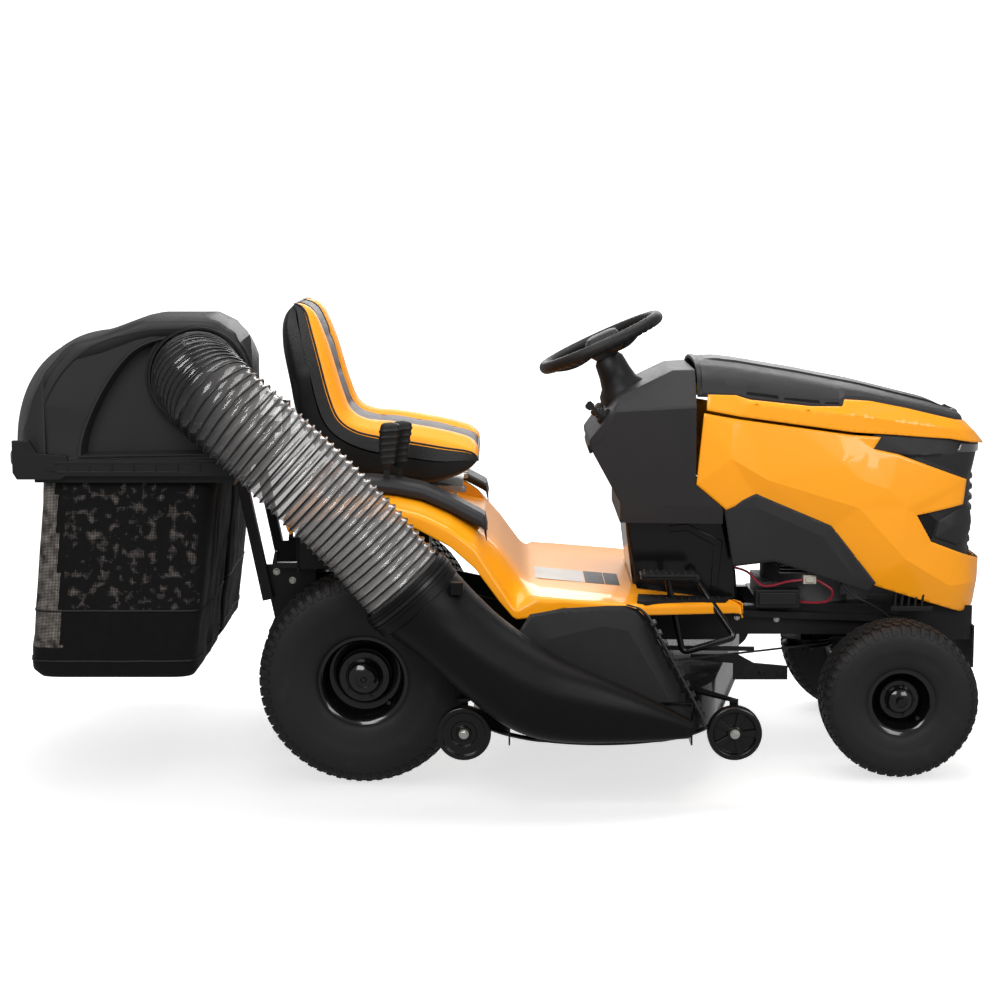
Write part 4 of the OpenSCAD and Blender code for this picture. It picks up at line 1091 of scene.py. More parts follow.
cuff.piece("boot_cuff", boot_black, "deck", sharp=30)
clamp = Shape().lathe([(116.4, 24.5), (117.6, 25), (117.6, 32.5), (116.4, 33)],
                      cuff_at, cuff_dir, 72, closed=True)
clamp.piece("boot_clamp_band", frame_black, "deck", sharp=40)


def deflector_y(z):
    return -594 + (z - 254) * 0.176


def deflector_skin(x, z, out=0.0):
    return Vector((x, deflector_y(z) - out, z))


panel("deflector_plate", [
    (46, 262, 0), (46, 400, 0), (70, 436, 0), (150, 450, 0), (250, 456, 0), (296, 456, 0), (322, 448, 0),
    (340, 430, 0), (461, 206, 0), (461, 190, 0), (300, 190, 0), (110, 236, 0)],
      [[(90, 262, 0), (110, 380, 5), (240, 410, 5), (300, 400, 5), (410, 215, 0)]],
      black_plastic, "deflector", ["deflector"], wall=4, skin=deflector_skin, mirror=False, mesh_size=16)
flange = Shape()
edge_line = spaced([(292, 0, 458), (322, 0, 450), (341, 0, 431), (463, 0, 206), (466, 0, 186)], 26)
rows = []
for i, p in enumerate(edge_line):
    reach = 6 + 40 * min(1, i / 8)
    y = deflector_y(p.z)
    rows.append([Vector((p.x, y, p.z)), Vector((p.x + 6, y - reach, p.z + 2)),
                 Vector((p.x + 11, y - reach, p.z + 3)), Vector((p.x + 5, y, p.z + 3))])
flange.grid(rows, round_rows=True, caps=True)
for i in range(5, 25, 2):
    p, q = edge_line[i], edge_line[min(i + 1, 25)]
    y = deflector_y(p.z)
    flange.prism([(p.x + 4, p.z - 2), (p.x + 17, p.z + 4), (p.x + 20, p.z), (p.x + 7, p.z - 7)],
                 y - 44, y)
bevelled(flange.piece("deflector_ribbed_edge", charcoal, "deflector"), 1)

# ---- steering wheel --------------------------------------------------------

WHEEL = Matrix.Translation(Vector((258, 0, 1036))) @ Matrix.Rotation(math.radians(-24.7), 4, "Y")


def oval(centre, u, v, a, b, n=24, power=2.6):
    """A rounded rectangle of half-sizes a and b about a centre, in the plane of u and v."""
    out = []
    for turn in around(n):
        c, s = math.cos(turn), math.sin(turn)
        r = squared(c, s, power)
        out.append(Vector(centre) + Vector(u) * (a * r * c) + Vector(v) * (b * r * s))
    return out


rim_rows = []
for a in around(240):
    out = Vector((math.cos(a), math.sin(a), 0))
    row = []
    for b in around(18):
        under = max(0, -math.sin(b))
        r = 15.2 - 1.9 * under * (0.5 + 0.5 * math.cos(a * 44))
        row.append(out * (156 + r * math.cos(b)) + Vector((0, 0, 1)) * (r * 1.05 * math.sin(b)))
    rim_rows.append(row)
steering = Shape().grid(rim_rows, round_rows=True, round_line=True)
for turn in (180, 300, 60):
    spin = Matrix.Rotation(math.radians(turn), 3, "Z")
    rows = []
    for i in range(17):
        t = i / 16
        sag = -13 - 12 * math.sin(math.pi * t) + 8 * t ** 4
        rows.append(oval(spin @ Vector((lerp(22, 152, t), 0, sag)), spin @ Vector((0, 1, 0)), (0, 0, 1),
                         25 - 9 * math.sin(math.pi * t * 0.9) + 9 * t ** 4, 7.5 + 3 * (1 - t), power=3.4))
    steering.grid(rows, round_rows=True, caps=True)
steering.turned(WHEEL)
steering.piece("steering_wheel_rim", grip_rubber, "steering", ["steering_wheel"], sharp=50)
hub = Shape()
hub.grid([oval((x, 0, z), (1, 0, 0), (0, 1, 0), a, b, 28, 5)
          for x, z, a, b in ((0, -40, 30, 28), (0, -26, 40, 36), (2, -8, 47, 44), (6, 8, 46, 42),
                             (9, 18, 39, 35), (10, 21, 28, 25))], round_rows=True, caps=True)
hub.lathe([(0, -96), (26, -96), (30, -80), (31, -40), (0, -40)], (0, 0, 0), (0, 0, 1), 32)
hub.turned(WHEEL)
bevelled(hub.piece("steering_hub", charcoal, "steering", sharp=24), 2.5, 3, 24)

# ---- seat ------------------------------------------------------------------

FACE = [(-55, 0, 757), (-58, 0, 782), (-78, 0, 799), (-150, 0, 819), (-260, 0, 838), (-335, 0, 846),
        (-378, 0, 872), (-403, 0, 930), (-436, 0, 1040), (-462, 0, 1106), (-480, 0, 1132),
        (-509, 0, 1141)]
SHELL = [(-55, 0, 757), (-72, 0, 735), (-108, 0, 712), (-186, 0, 693), (-300, 0, 705), (-386, 0, 724),
         (-462, 0, 785), (-501, 0, 855), (-520, 0, 950), (-539, 0, 1040), (-545, 0, 1090),
         (-534, 0, 1124), (-509, 0, 1141)]
SEAT_STEPS = 36
SEAT_ROWS = 33


def halves(points, corner, steps):
    """A smooth line through points with the same number of steps before and after a corner."""
    fine = spline(points, 500)
    k = min(range(500), key=lambda i: (fine[i] - Vector(corner)).length)
    return spaced(fine[:k + 1], steps + 1)[:-1] + spaced(fine[k:], steps + 1)


face_line = halves(FACE, (-366, 0, 855), SEAT_STEPS)
shell_line = halves(SHELL, (-470, 0, 800), SEAT_STEPS)
seat_rows = []
for j in range(SEAT_ROWS * 2 + 1):
    u = j / SEAT_ROWS - 1
    u = math.copysign(1 - (1 - abs(u)) ** 1.5, u)
    row = []
    for side, line in ((1, face_line), (-1, shell_line)):
        other = shell_line if side == 1 else face_line
        order = range(len(line)) if side == 1 else range(len(line) - 2, 0, -1)
        for i in order:
            t = i / (len(line) - 1)
            half = lerp(213, 205, min(1, t * 1.6)) if t < 0.62 else 205 - 48 * ((t - 0.62) / 0.38) ** 2.2
            thick = max(0.0, 1 - abs(u) ** 6) ** (1 / 6)
            middle = (line[i] + other[i]) / 2
            p = middle + (line[i] - middle) * thick
            y = u * half
            d = (line[min(i + 1, len(line) - 1)] - line[max(i - 1, 0)]).normalized()
            out = Vector((-d.z, 0, d.x)) * (-1 if side == 1 else 1)
            if out.dot(line[i] - middle) < 0:
                out.negate()
            ends = min(1, 12 * t, 12 * (1 - t))
            if side == 1:
                lift = 11 * math.exp(-((abs(y) - 152) / 34) ** 2) \
                    - 7 * math.exp(-((abs(y) - 106) / 8) ** 2) + 3 * math.exp(-(y / 60) ** 2)
                lift -= 3.0 * (0.5 + 0.5 * math.cos(t * 46)) ** 8 * (abs(y) < 100)
                p += out * lift * ends
            row.append(Vector((p.x, y, p.z)))
    seat_rows.append(row)
FACE_COUNT = len(face_line)


def seat_zone(j, i):
    u = (j + 0.5) / SEAT_ROWS - 1
    u = math.copysign(1 - (1 - abs(u)) ** 1.5, u)
    thick = max(0.0, 1 - abs(u) ** 6) ** (1 / 6)
    if i >= FACE_COUNT - 1:
        return 0
    if abs(u) * 209 < 106 and i > 1:
        return 2
    return 1 if thick > 0.5 else 0


seat_form = Shape().grid(seat_rows, round_rows=True, slot=seat_zone)
seat = seat_form.piece("seat_upholstery", [vinyl_black, vinyl_yellow, vinyl_grey], "seat",
                       ["seat_cushion", "seat_back"], sharp=60, weld=0.3)


def shared_slots(mesh):
    """The material slots that meet along each edge of a mesh."""
    out = {}
    for f in mesh.polygons:
        for k in f.edge_keys:
            out.setdefault(k, set()).add(f.material_index)
    return out


def stuffed(obj, cap_mm, pressure=3.0):
    """Inflates a closed cushion as cloth; no point moves further than the cap."""
    before = [v.co.copy() for v in obj.data.vertices]
    low = min(v.co.z for v in obj.data.vertices)
    held = obj.vertex_groups.new(name="held")
    seam = {v for k, slots in shared_slots(obj.data).items() if len(slots) > 1 for v in k}
    held.add(sorted(seam | {v.index for v in obj.data.vertices if v.co.z < low + 0.012}), 1.0, "REPLACE")
    cloth = obj.modifiers.new("stuffing", "CLOTH")
    cloth.settings.quality = 5
    cloth.settings.vertex_group_mass = "held"
    cloth.settings.use_pressure = True
    cloth.settings.uniform_pressure_force = pressure
    cloth.settings.tension_stiffness = cloth.settings.compression_stiffness = 25
    cloth.settings.bending_stiffness = 2.0
    cloth.settings.effector_weights.gravity = 0
    cloth.point_cache.frame_start, cloth.point_cache.frame_end = 1, 16
    for f in range(1, 17):
        scene.frame_set(f)
    shown = obj.evaluated_get(bpy.context.evaluated_depsgraph_get())
    after = [v.co.copy() for v in shown.data.vertices]
    obj.modifiers.clear()
    scene.frame_set(1)
    for v, a, b in zip(obj.data.vertices, before, after):
        d = b - a
        if d.length > cap_mm / 1000:
            d *= cap_mm / 1000 / d.length
        v.co = a + d
    obj.vertex_groups.clear()
    obj.data.update()


stuffed(seat, 6)
piping = Shape()
links_of = {}
for k, slots in shared_slots(seat.data).items():
    if len(slots) > 1:
        for a, b in (k, k[::-1]):
            links_of.setdefault(a, []).append(b)
seen = set()
for first in sorted(links_of):
    if first in seen:
        continue
    chain = [first]
    seen.add(first)
    while True:
        step = [b for b in links_of[chain[-1]] if b not in seen]
        if not step:
            break
        chain.append(step[0])
        seen.add(step[0])
    if len(chain) > 6:
        if chain[0] in links_of[chain[-1]]:
            chain.append(chain[0])
        line = [(seat.data.vertices[i].co - ORIGIN) * 1000 for i in chain]
        piping.tube(line, 2.6, 6)
piping.piece("seat_piping", vinyl_black, "seat", sharp=80)
subdivided(seat)

springs = Shape()
for side in (-1, 1):
    for k in range(7):
        z = 652 + 5.0 * k
        path = [(-214 + 2 * k, side * 92, z + 6), (-150 + 2 * k, side * 96, z + 1),
                (-118 + 1.5 * k, side * 99, z - 5), (-112 + 1.5 * k, side * 60, z - 5),
                (-118 + 1.5 * k, side * 30, z - 3)]
        springs.tube(spline(path, 24), 1.7, 6)
springs.piece("seat_suspension_wires", steel, "seat_base")

# ---- bag cover ---------------------------------------------------------------


def cover_plan(y):
    """The rear limit of the cover at a distance y from the centre line."""
    s = min(1.0, abs(y) / 476)
    return -1213 + 96 * s * s + 54 * (1 - (1 - max(0, (s - 0.885) / 0.115) ** 2) ** 0.5)


def cover_front(y):
    """The front limit of the cover at a distance y from the centre line."""
    return along([(-476, -608), (-230, -609), (-100, -614), (100, -628), (250, -645), (400, -668),
                  (455, -684), (476, -706)], y)


def cover_top(x, y):
    """The height of the cover's top above a point of its plan."""
    rear = cover_plan(y)
    run = max(0.0, min(1.0, (x - rear) / 250))
    main = 800 + 262 * (1 - (1 - run) ** 2.6) ** (1 / 2.1)
    front = max(0.0, min(1.0, (cover_front(y) - x) / 60))
    main -= 74 * (1 - front) ** 2.4
    main += 10 * math.exp(-(y / 46) ** 2) * run
    arch = along([(-1213, 700), (-1119, 880), (-1096, 951), (-1068, 1006), (-1024, 1056), (-997, 1074),
                  (-933, 1090), (-852, 1120), (-815, 1128), (-682, 1128), (-640, 1108), (-608, 1070)], x)
    near = max(0.0, min(1.0, (-y - 196) / 60))
    return lerp(main, max(main, arch), near * near * (3 - 2 * near))


cover_rows = []
across = [math.sin(math.pi / 2 * k / 30) for k in range(-30, 31)]
for s in across:
    y = 476 * s
    drop = (1 - (1 - abs(s) ** 9) ** (1 / 9)) * 46 if abs(s) < 1 else 46
    rear = cover_plan(y * 0.999)
    row = [Vector((rear, y, 776)), Vector((rear, y, 790))]
    for i in range(61):
        t = i / 60
        x = lerp(rear, cover_front(y), 0.5 - 0.5 * math.cos(math.pi * t))
        row.append(Vector((x, y, cover_top(x, y) - drop)))
    row += [Vector((cover_front(y), y, 960)), Vector((cover_front(y), y, 776))]
    cover_rows.append(row)
cover = Shape().grid(cover_rows)
NEAR = -477
OUTER = [(-1106, 0, 778), (-1105, 0, 830), (-1098, 0, 884), (-1078, 0, 945), (-1051, 0, 997),
         (-1010, 0, 1044), (-985, 0, 1060), (-930, 0, 1076), (-850, 0, 1106), (-812, 0, 1114),
         (-684, 0, 1114), (-646, 0, 1096), (-617, 0, 1062), (-612, 0, 900), (-610, 0, 778)]
BAND = [(-1090, 0, 792), (-1089, 0, 840), (-1079, 0, 888), (-1054, 0, 948), (-1012, 0, 1008),
        (-960, 0, 1050), (-908, 0, 1073), (-876, 0, 1080), (-812, 0, 1093), (-690, 0, 1094),
        (-656, 0, 1078), (-632, 0, 1046), (-626, 0, 900), (-624, 0, 792)]
ARCH = [(-987, 0, 800), (-985, 0, 824), (-973, 0, 866), (-944, 0, 930), (-905, 0, 994), (-862, 0, 1042),
        (-819, 0, 1066), (-765, 0, 1078), (-713, 0, 1080), (-668, 0, 1066),
        (-644, 0, 1034), (-636, 0, 900), (-634, 0, 806)]


def near_loop(points, y, share=0.0, towards=(-800, 0, 900), foot=24):
    """A closed loop on the cover's near side: a smooth arch and its straight foot."""
    line = spline([Vector(p).lerp(Vector(towards), share) for p in points], 90)
    base = [line[-1].lerp(line[0], (k + 1) / (foot + 1)) for k in range(foot)]
    return [Vector((p.x, y + 26 * (max(0, -1062 - p.x) / 45) ** 2, p.z)) for p in line + base]


cover.grid([near_loop(line, NEAR + y, share) for line, y, share in (
    (OUTER, 8, -0.03), (OUTER, 3, 0), (OUTER, 0, 0.02), (BAND, 0, -0.015), (BAND, 4, 0),
    (ARCH, 4, -0.04), (ARCH, -2, -0.03), (ARCH, -2, 0), (ARCH, 5, 0.015), (ARCH, 34, 0.06))],
    round_rows=True)
last = near_loop(ARCH, NEAR + 34, 0.06)
mid = Vector((-770, NEAR + 34, 900))
cover.grid([last, [p.lerp(mid, 0.5) for p in last], [p.lerp(mid, 0.999) for p in last]], round_rows=True)
cover = cover.piece("bag_cover_shell", charcoal, "cover", ["bag_cover"], sharp=38, weld=0.3)
thicken(cover, 3.0)

collar = Shape()
for ring in ([(113, -32), (113, 6), (118, 6), (121, 0), (121, -32)],
             [(113, -14), (128, -14), (128, -10), (113, -10)]):
    collar.lathe(ring, (-706, -478, 985), (0, -1, 0), 64, closed=True)
collar.piece("hose_inlet_collar", black_plastic, "cover", sharp=30)

skirt = Shape()
rim_line = [Vector((-606, -479, 0)), Vector((-800, -479, 0)), Vector((-1000, -479, 0))]
for k in range(25):
    y = -479 + 958 * k / 24
    rim_line.append(Vector((cover_plan(y) - 14, y, 0)))
rim_line += [Vector((-1000, 479, 0)), Vector((-800, 479, 0)), Vector((-700, 479, 0))]
rim_line = spline(rim_line, 120)
skirt_rows = []
for p, (d, _, _) in zip(rim_line, frames(rim_line)):
    out = Vector((d.y, -d.x, 0))
    if out.dot(p - Vector((-850, 0, 0))) < 0:
        out.negate()
    skirt_rows.append([p + out * o + Vector((0, 0, z)) for o, z in
                       ((-14, 783), (-1, 783), (4, 779), (4, 764), (0, 761), (0, 757.5), (-9, 757.5),
                        (-9, 776), (-14, 776))])
skirt.grid(skirt_rows, round_rows=True, caps=True)
skirt.piece("cover_rim_flange", black_plastic, "cover", sharp=40)
skirt = Shape()
for k in range(7):
    x = -1020 + 52 * k
    skirt.block((x, -486, 763), (x + 4, -480, 781))
skirt.prism([(-1052, 781), (-1048, 787), (-740, 787), (-700, 781)], -485, -476)
skirt.prism([(-1052, 758), (-1046, 764), (-760, 764), (-700, 758)], -485, -476)
for side in (-1, 1):
    skirt.prism([(-1148, 836), (-1148, 760), (-1138, 744), (-1036, 744), (-1024, 752), (-620, 752),
                 (-612, 757), (-612, 784), (-1016, 784), (-1020, 800), (-1090, 806), (-1108, 836)],
                side * 469, side * 484)
bevelled(skirt.piece("cover_rim_blocks", black_plastic, "cover", sharp=28), 1.2, 2)

# ---- bags --------------------------------------------------------------------

BAG_TOP, BAG_FLOOR = 752, 259


def bag_point(side, level, turn):
    """A point of a bag's cloth: level from the mouth (0) down to the floor (1), turn round it."""
    z = lerp(BAG_TOP, BAG_FLOOR, level)
    rear = along([(259, -1112), (276, -1133), (300, -1136), (752, -1090)], z)
    front = along([(257, -742), (275, -727), (725, -676), (752, -676)], z)
    low, high = (8, 452) if z > 290 else (8 + (290 - z) * 0.4, 452 - (290 - z) * 0.5)
    cx, cy = (rear + front) / 2, (low + high) / 2
    a, b = (front - rear) / 2, (high - low) / 2
    c, s = math.cos(turn), math.sin(turn)
    r = squared(c, s, 12)
    u, v = c * r, s * r
    swell = math.sin(math.pi * min(1, level * 1.02)) * 5
    p = Vector((cx + a * u, cy + b * v, z))
    n = Vector((u ** 7, v ** 7, 0))
    n = n.normalized() if n.length > 0 else n
    fold = noise.noise(Vector((p.x * 0.012, p.y * 0.012 + side, z * 0.0035))) * 6
    fold += noise.noise(Vector((p.x * 0.04, p.y * 0.04, z * 0.01 + 5))) * 3
    fold += noise.noise(Vector((p.x * 0.006 + z * 0.012, p.y * 0.01, z * 0.016))) * 4 * level
    grip = min(1, level * 7, (1 - level) * 9)
    q = p + n * ((swell * 0.6 + fold - 4.5) * grip)
    q.y = min(max(q.y, 8), 453)
    return Vector((q.x, side * q.y, q.z))


for side, name in ((-1, "right"), (1, "left")):
    turns = around(200)
    levels = [1 - (1 - i / 64) ** 1.25 for i in range(65)]
    rows = [[bag_point(side, v, t) for t in turns] for v in levels]
    bottom = rows[-1]
    mid = sum(bottom, Vector()) / len(bottom)
    rows += [[p.lerp(mid, s) + Vector((0, 0, -2)) for p in bottom] for s in (0.03, 0.3, 0.999)]

    def cloth_zone(j, i, rows=rows):
        p = (rows[j][i] + rows[min(j + 1, len(rows) - 1)][(i + 1) % 200]) / 2
        y = abs(p.y)
        if j >= 64:
            return 0
        if y > 430 and -1036 < p.x < -721 and p.z > 423:
            return 1
        if y > 400 and p.x < -1052 and p.z > 332:
            return 2
        if p.x < -1080 and 60 < y < 400 and p.z > 420:
            return 1
        return 0

    bag = Shape().grid(rows, round_rows=True, slot=cloth_zone)
    bag = bag.piece("grass_bag_" + name, [fabric, mesh_cloth, strip_cloth], "bag_" + name, ["bag_" + name],
                    sharp=60, weld=0.1)
    thicken(bag, 1.2)
    trim = Shape()

    for z in (748, 423, 300):
        level = (BAG_TOP - z) / (BAG_TOP - BAG_FLOOR)
        trim.tube([bag_point(side, level, t) + Vector((0, side * 0.8, 0)) for t in turns + turns[:1]],
                  2.2, 6)
    lip = [Vector((x, side * y, BAG_TOP)) for x, y in
           ((-672, 12), (-672, 440), (-680, 456), (-1076, 456), (-1091, 444), (-1091, 12),
            (-1080, 9), (-684, 9))]
    trim.tube(spaced(lip + lip[:1], 160), 4.5, 8)
    trim.piece("bag_seams_" + name, black_plastic, "bag_" + name, sharp=60)

# ---- hose --------------------------------------------------------------------

ROUTE = [(-706, -446, 985), (-704, -504, 984), (-688, -546, 970), (-652, -580, 940), (-600, -596, 896),
         (-535, -600, 838), (-461, -601, 769), (-390, -603, 699), (-323, -605, 630), (-258, -607, 555),
         (-196, -608, 483), (-184, -608, 468)]
HOSE_PITCH = 19.4
route = spline(ROUTE, 900)
reach = [0.0]
for p, q in zip(route, route[1:]):
    reach.append(reach[-1] + (q - p).length)
route_frames = frames(route)


def coils(s):
    """How many turns of the helix lie before s; they crowd together at the inlet."""
    return s / 10.5 if s < 150 else 150 / 10.5 + (s - 150) / HOSE_PITCH


def on_hose(s, turn, r):
    """A point at s mm along the hose, at an angle round it and a distance from its middle."""
    k = min(len(route) - 2, max(0, int(s / reach[-1] * (len(route) - 1))))
    t = s / reach[-1] * (len(route) - 1) - k
    u = route_frames[k][1].lerp(route_frames[k + 1][1], t)
    v = route_frames[k][2].lerp(route_frames[k + 1][2], t)
    return route[k].lerp(route[k + 1], t) + r * (math.cos(turn) * u + math.sin(turn) * v)


def hose_part(name, first, last):
    wall = []
    steps = int((coils(last) - coils(first)) * 8)
    for i in range(steps + 1):
        s = lerp(first, last, i / steps)
        row = []
        for turn in around(44):
            crest = 0.5 + 0.5 * math.cos(2 * math.pi * coils(s) - turn)
            dent = 0.6 * noise.noise(Vector((s * 0.03, math.cos(turn) * 2, math.sin(turn) * 2)))
            row.append(on_hose(s, turn, 102.4 + 4.4 * crest ** 1.6 + dent))
        wall.append(row)
    helix = []
    count = int((coils(last) - coils(first)) * 40)
    for i in range(count + 1):
        s = lerp(first, last, i / count)
        helix.append(on_hose(s, 2 * math.pi * coils(s), 106.2))
    skin = Shape().grid(wall, round_rows=True).piece(name + "_wall", clear, sharp=70)
    wire = Shape().tube(helix, 2.9, 6).piece(name + "_helix", hose_wire, sharp=80)
    for obj in (skin, wire):
        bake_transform(obj)
        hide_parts("flexible_hose")


half = reach[-1] * 0.5
hose_part("hose_upper", 0, half)
hose_part("hose_lower", half, reach[-1])

# ---- deck belt ----------------------------------------------------------------

PULLEYS = [(800, 0), (355, 292), (235, -292)]
BELT_Z = 260


def belt_line(r, count=160):
    """The loop of a tight belt round the three pulleys, at a radius r."""
    loop = hull(sorted((x + r * math.cos(a), y + r * math.sin(a)) for x, y in PULLEYS for a in around(96)))
    return spaced([(x, y, 0) for x, y in loop + loop[:1]], count, closed=True)


belt = Shape().grid([[p + Vector((0, 0, BELT_Z + z)) for p in belt_line(r)]
                     for r, z in ((60, -2.4), (60, 2.4), (53, 1.4), (53, -1.4))],
                    round_rows=True, round_line=True)
belt = belt.piece("deck_belt_vee", belt_rubber, sharp=40)
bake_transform(belt)
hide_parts("deck_belt")

# ---- levers, pedal and controls ------------------------------------------------

for name, pin in (("lift_lever", (-280, -345, 570)), ("speed_lever", (-252, -305, 570))):
    grip = Shape()
    rows = []
    for i in range(49):
        t = i / 48
        rib = 1.5 * (0.1 < t < 0.86)
        row = []
        for a in around(28):
            r = squared(math.cos(a), math.sin(a), 3)
            r += 0.075 * rib * max(0, math.cos(a - t * 44)) ** 2
            wide = along([(0, 12), (0.12, 18), (0.5, 21), (0.85, 24), (0.95, 22), (0.99, 14), (1, 4)], t)
            row.append(Vector((wide * r * math.cos(a) + 6 * t * t,
                               wide * 0.62 * r * math.sin(a), 184 + 112 * t)))
        rows.append(row)
    grip.grid(rows, round_rows=True, caps=True)
    grip.prism([(-9, 8), (9, 8), (7, 190), (-7, 190)], -3, 3)
    grip.lathe([(0, -7), (13, -7), (13, 7), (0, 7)], (0, 0, 0), (0, 1, 0), 28)
    grip.turned(Matrix.Translation(Vector(pin)) @ Matrix.Rotation(math.radians(2), 4, "Y"))
    grip.piece(name + "_grip", grip_rubber, name, [name], sharp=42)


def rounded(points, radius, steps=8):
    """A polyline with its corners turned through short arcs."""
    p = [Vector(q) for q in points]
    out = [p[0]]
    for a, b, c in zip(p, p[1:], p[2:]):
        r = min(radius, (a - b).length * 0.45, (c - b).length * 0.45)
        first, last = b + (a - b).normalized() * r, b + (c - b).normalized() * r
        out += [first.lerp(b, k / steps).lerp(b.lerp(last, k / steps), k / steps) for k in range(steps + 1)]
    return out + [p[-1]]


arm = Shape()
arm.tube(rounded([(484, -231, 465), (580, -306, 330), (450, -306, 291), (410, -306, 480)], 18), 8.2, 16)
arm.lathe([(0, -172), (8.8, -172), (8.8, -225), (14, -227), (15, -229), (15, -238), (13, -241), (0, -241)],
          (484, 0, 465), (0, 1, 0), 32)
arm.prism([(345, 478), (480, 478), (480, 486), (345, 486)], -340, -276)
bevelled(arm.piece("pedal_arm", gloss_black, "pedal", ["drive_pedal"], sharp=40), 1.5)
pad = Shape()
pad.prism([(343, 486), (345, 491), (478, 491), (482, 486)], -342, -274)
for k in range(8):
    x = 352 + 16 * k
    pad.prism([(x, 490), (x + 2, 495), (x + 7, 495), (x + 9, 490)], -338, -278)
pad.bolt((484, -240, 465), (0, -1, 0), 11, 8)
bevelled(pad.piece("pedal_rubber_pad", grip_rubber, "pedal", sharp=30), 1.2)

DASH = Matrix.Rotation(math.radians(-53.6), 4, "Y")


def on_dash(y):
    return Matrix.Translation(Vector((262, y, 859))) @ DASH


def fluted(a, r, z):
    """A point of the knob's grip, which has nine shallow flutes."""
    r *= 1 + 0.05 * math.cos(9 * a)
    return Vector((r * math.cos(a), r * math.sin(a), z))


knob = Shape()
knob.grid([[fluted(a, r, z) for a in around(90)]
           for r, z in ((9, 6), (12, 9), (16.6, 13), (17.6, 20), (17.4, 27), (14.5, 30.5), (9, 31.5))],
          round_rows=True, caps=True)
knob.turned(on_dash(-90))
knob.piece("blade_knob_cap", knob_dark, "blade_knob", ["pto_knob"], sharp=40)
barrel = Shape()
barrel.lathe([(0, -6), (20, -6), (22, 2), (21, 9), (15, 12), (14, 20), (0, 20)], (0, 0, 0), (0, 0, 1), 40)
barrel.turned(on_dash(-150))
barrel.piece("key_lock_bezel", black_plastic, "chassis", sharp=30)
bow = Shape()
bow.lathe([(0, 14), (9, 14), (9, 24), (7, 26), (0, 26)], (0, 0, 0), (0, 0, 1), 32)
bow.prism([(-4, 24), (4, 24), (4, 36), (10, 40), (11, 52), (6, 57), (-6, 57), (-11, 52),
           (-10, 40), (-4, 36)], -1.8, 1.8)
bow.turned(on_dash(-150))
bevelled(bow.piece("key_bow", black_plastic, "key", ["ignition_key"], sharp=30), 0.8)
tab = Shape()
tab.prism([(-12, -6), (-4, -6), (-4, 25), (-12, 25)], -2.4, 2.4)
tab.prism([(-14, 24), (-1, 24), (0, 28), (0, 35), (-15, 35.5), (-16, 30)], -8, 8)
tab.turned(on_dash(60))
bevelled(tab.piece("throttle_tab", grip_rubber, "throttle", ["throttle_lever"], sharp=30), 1.2, 2)

# ---- engine bay, wiring and fixings --------------------------------------------

bay = Shape()
for k in range(11):
    z = 470 + 9 * k
    bay.prism([(700, z), (905, z), (905, z + 2.5), (700, z + 2.5)], -196, -120)
bevelled(bay.piece("engine_cooling_fins", alloy, "chassis"), 0.6, 1)
rail = Shape()
rail.prism([(590, 356), (1020, 340), (1020, 356), (590, 372)], -172, -156)
rail.piece("side_rail_strip", frame_black, "chassis")
box = Shape()
box.block((640, -206, 384), (752, -160, 430))
box.block((648, -212, 392), (744, -204, 424))
bevelled(box.piece("fuse_box", black_plastic, "chassis"), 3)
plug = Shape()
plug.block((758, -214, 446), (790, -190, 468))
plug.block((764, -218, 450), (784, -212, 464))
bevelled(plug.piece("wire_connector", connector, "chassis"), 1.5)
wires = Shape()
wires.tube(spline([(580, -150, 480), (620, -182, 472), (660, -205, 440), (720, -212, 452),
                   (760, -206, 456)], 40), 3.2, 8)
wires.tube(spline([(790, -206, 456), (830, -212, 430), (820, -200, 400), (760, -190, 396),
                   (700, -176, 410)], 60), 3.2, 8)
wires.piece("engine_wires", wire_red, "chassis")
cable = Shape()
cable.tube(spline([(820, -150, 500), (840, -206, 462), (880, -216, 420), (925, -212, 396), (965, -192, 370),
                   (985, -164, 349)], 40), 2.4, 8)
cable.tube(spline([(-520, -132, 418), (-512, -156, 450), (-470, -170, 452), (-430, -150, 390),
                   (-395, -112, 312)], 40), 4, 8)
cable.piece("control_cables", grip_rubber, "chassis")
liner = Shape()
liner.prism([(-502, 486), (-330, 486), (-300, 560), (-330, 640), (-480, 636), (-502, 575)], -222, -216)
liner.mirrored()
liner.prism([(-506, 478), (-500, 478), (-500, 590), (-506, 576)], -222, 222)
liner.piece("rear_fender_liner", black_plastic, "chassis")
tray = Shape()
tray.prism([(-568, 486), (-462, 486), (-462, 500), (-470, 502), (-470, 540), (-478, 540), (-478, 500),
            (-556, 500), (-556, 528), (-562, 528), (-568, 500)], -214, -196)
tray.mirrored()
bevelled(tray.piece("latch_tray", gloss_black, "chassis"), 1)
hanger = Shape()
hanger.prism([(588, 198), (725, 198), (725, 232), (640, 240), (600, 262), (480, 262), (480, 250),
              (588, 240)], -196, -186)
hanger.prism([(300, 276), (640, 272), (640, 282), (300, 286)], -200, -188)
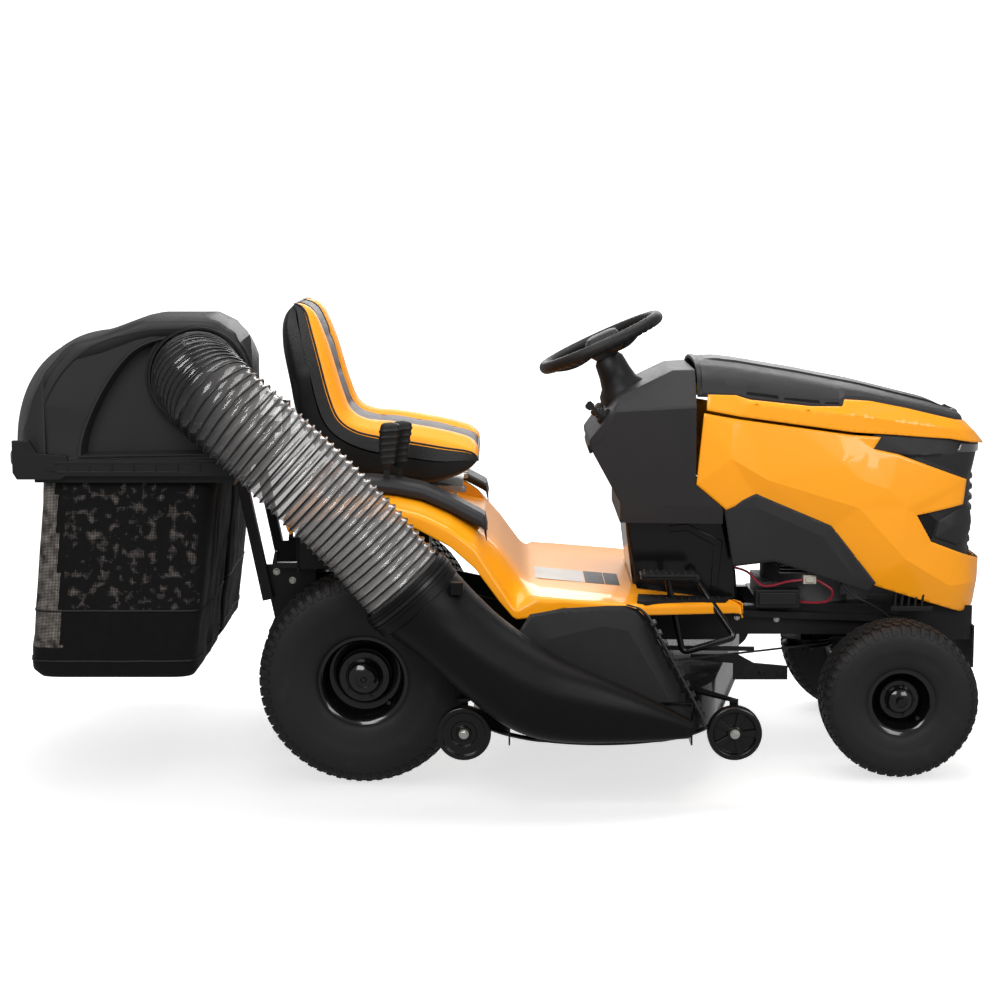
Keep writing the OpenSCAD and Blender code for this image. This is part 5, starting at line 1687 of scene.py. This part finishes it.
for x, z in ((660, 216), (706, 214)):
    hanger.bolt((x, -196, z), (0, -1, 0), 7, 5)
bevelled(hanger.piece("deck_hanger", frame_black, "chassis", sharp=30), 1)
guard = Shape()
for k in range(5):
    x = 986 + 17 * k
    guard.prism([(x, 386), (x + 6, 386), (x + 14, 470), (x + 8, 470)], -206, -199)
guard.prism([(978, 376), (1082, 376), (1086, 388), (980, 388)], -208, -197)
guard.prism([(990, 466), (1084, 458), (1086, 470), (992, 478)], -208, -197)
bevelled(guard.piece("front_guard_slats", black_plastic, "chassis"), 1.5)
bolts = Shape()
for p in ((-520, -192.5, 452), (-520, -192.5, 388), (-560, -192.5, 474)):
    bolts.bolt(p, (0, -1, 0), 7, 5)
bolts.mirrored()
for x, z in ((600, 350), (700, 345), (1000, 330), (-400, 330), (-200, 330)):
    bolts.bolt((x, -154, z), (0, -1, 0), 6, 4)
bolts.piece("zinc_bolts", steel, "chassis", sharp=30)

# ---- carried-over CAD nodes ------------------------------------------------------


def dress(material, *names, bevel=1.0):
    """Gives CAD nodes a finish and slightly broken edges."""
    for name in names:
        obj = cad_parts[name]
        if not obj.material_slots:
            obj.data.materials.append(material)
        for s in obj.material_slots:
            s.material = material
        if bevel:
            m = obj.modifiers.new("edges", "BEVEL")
            m.width = bevel / 1000
            m.segments = 2
            m.limit_method = "ANGLE"
            m.angle_limit = math.radians(40)
            m.use_clamp_overlap = True


dress(frame_black, "frame_rails", "hitch_plate", "front_axle", "knuckle_right", "knuckle_left")
dress(frame_black, "bagger_frame", bevel=0)
dress(alloy, "transaxle", "engine_block", bevel=2.0)
dress(black_plastic, "engine_shroud", "fuel_tank", bevel=2.0)
dress(soot_and_opening_shade, "muffler")
dress(steel, "steering_shaft", "pinion_shaft", "sector_gear", "tie_rod", "drag_link", "seat_bracket",
      bevel=0.4)
dress(frame_black, "crank_pulley", "spindle_right", "spindle_left", bevel=0.6)
dress(blade_steel, "blade_right", "blade_left", bevel=0.5)
dress(gloss_black, "deck_shell", bevel=1.5)
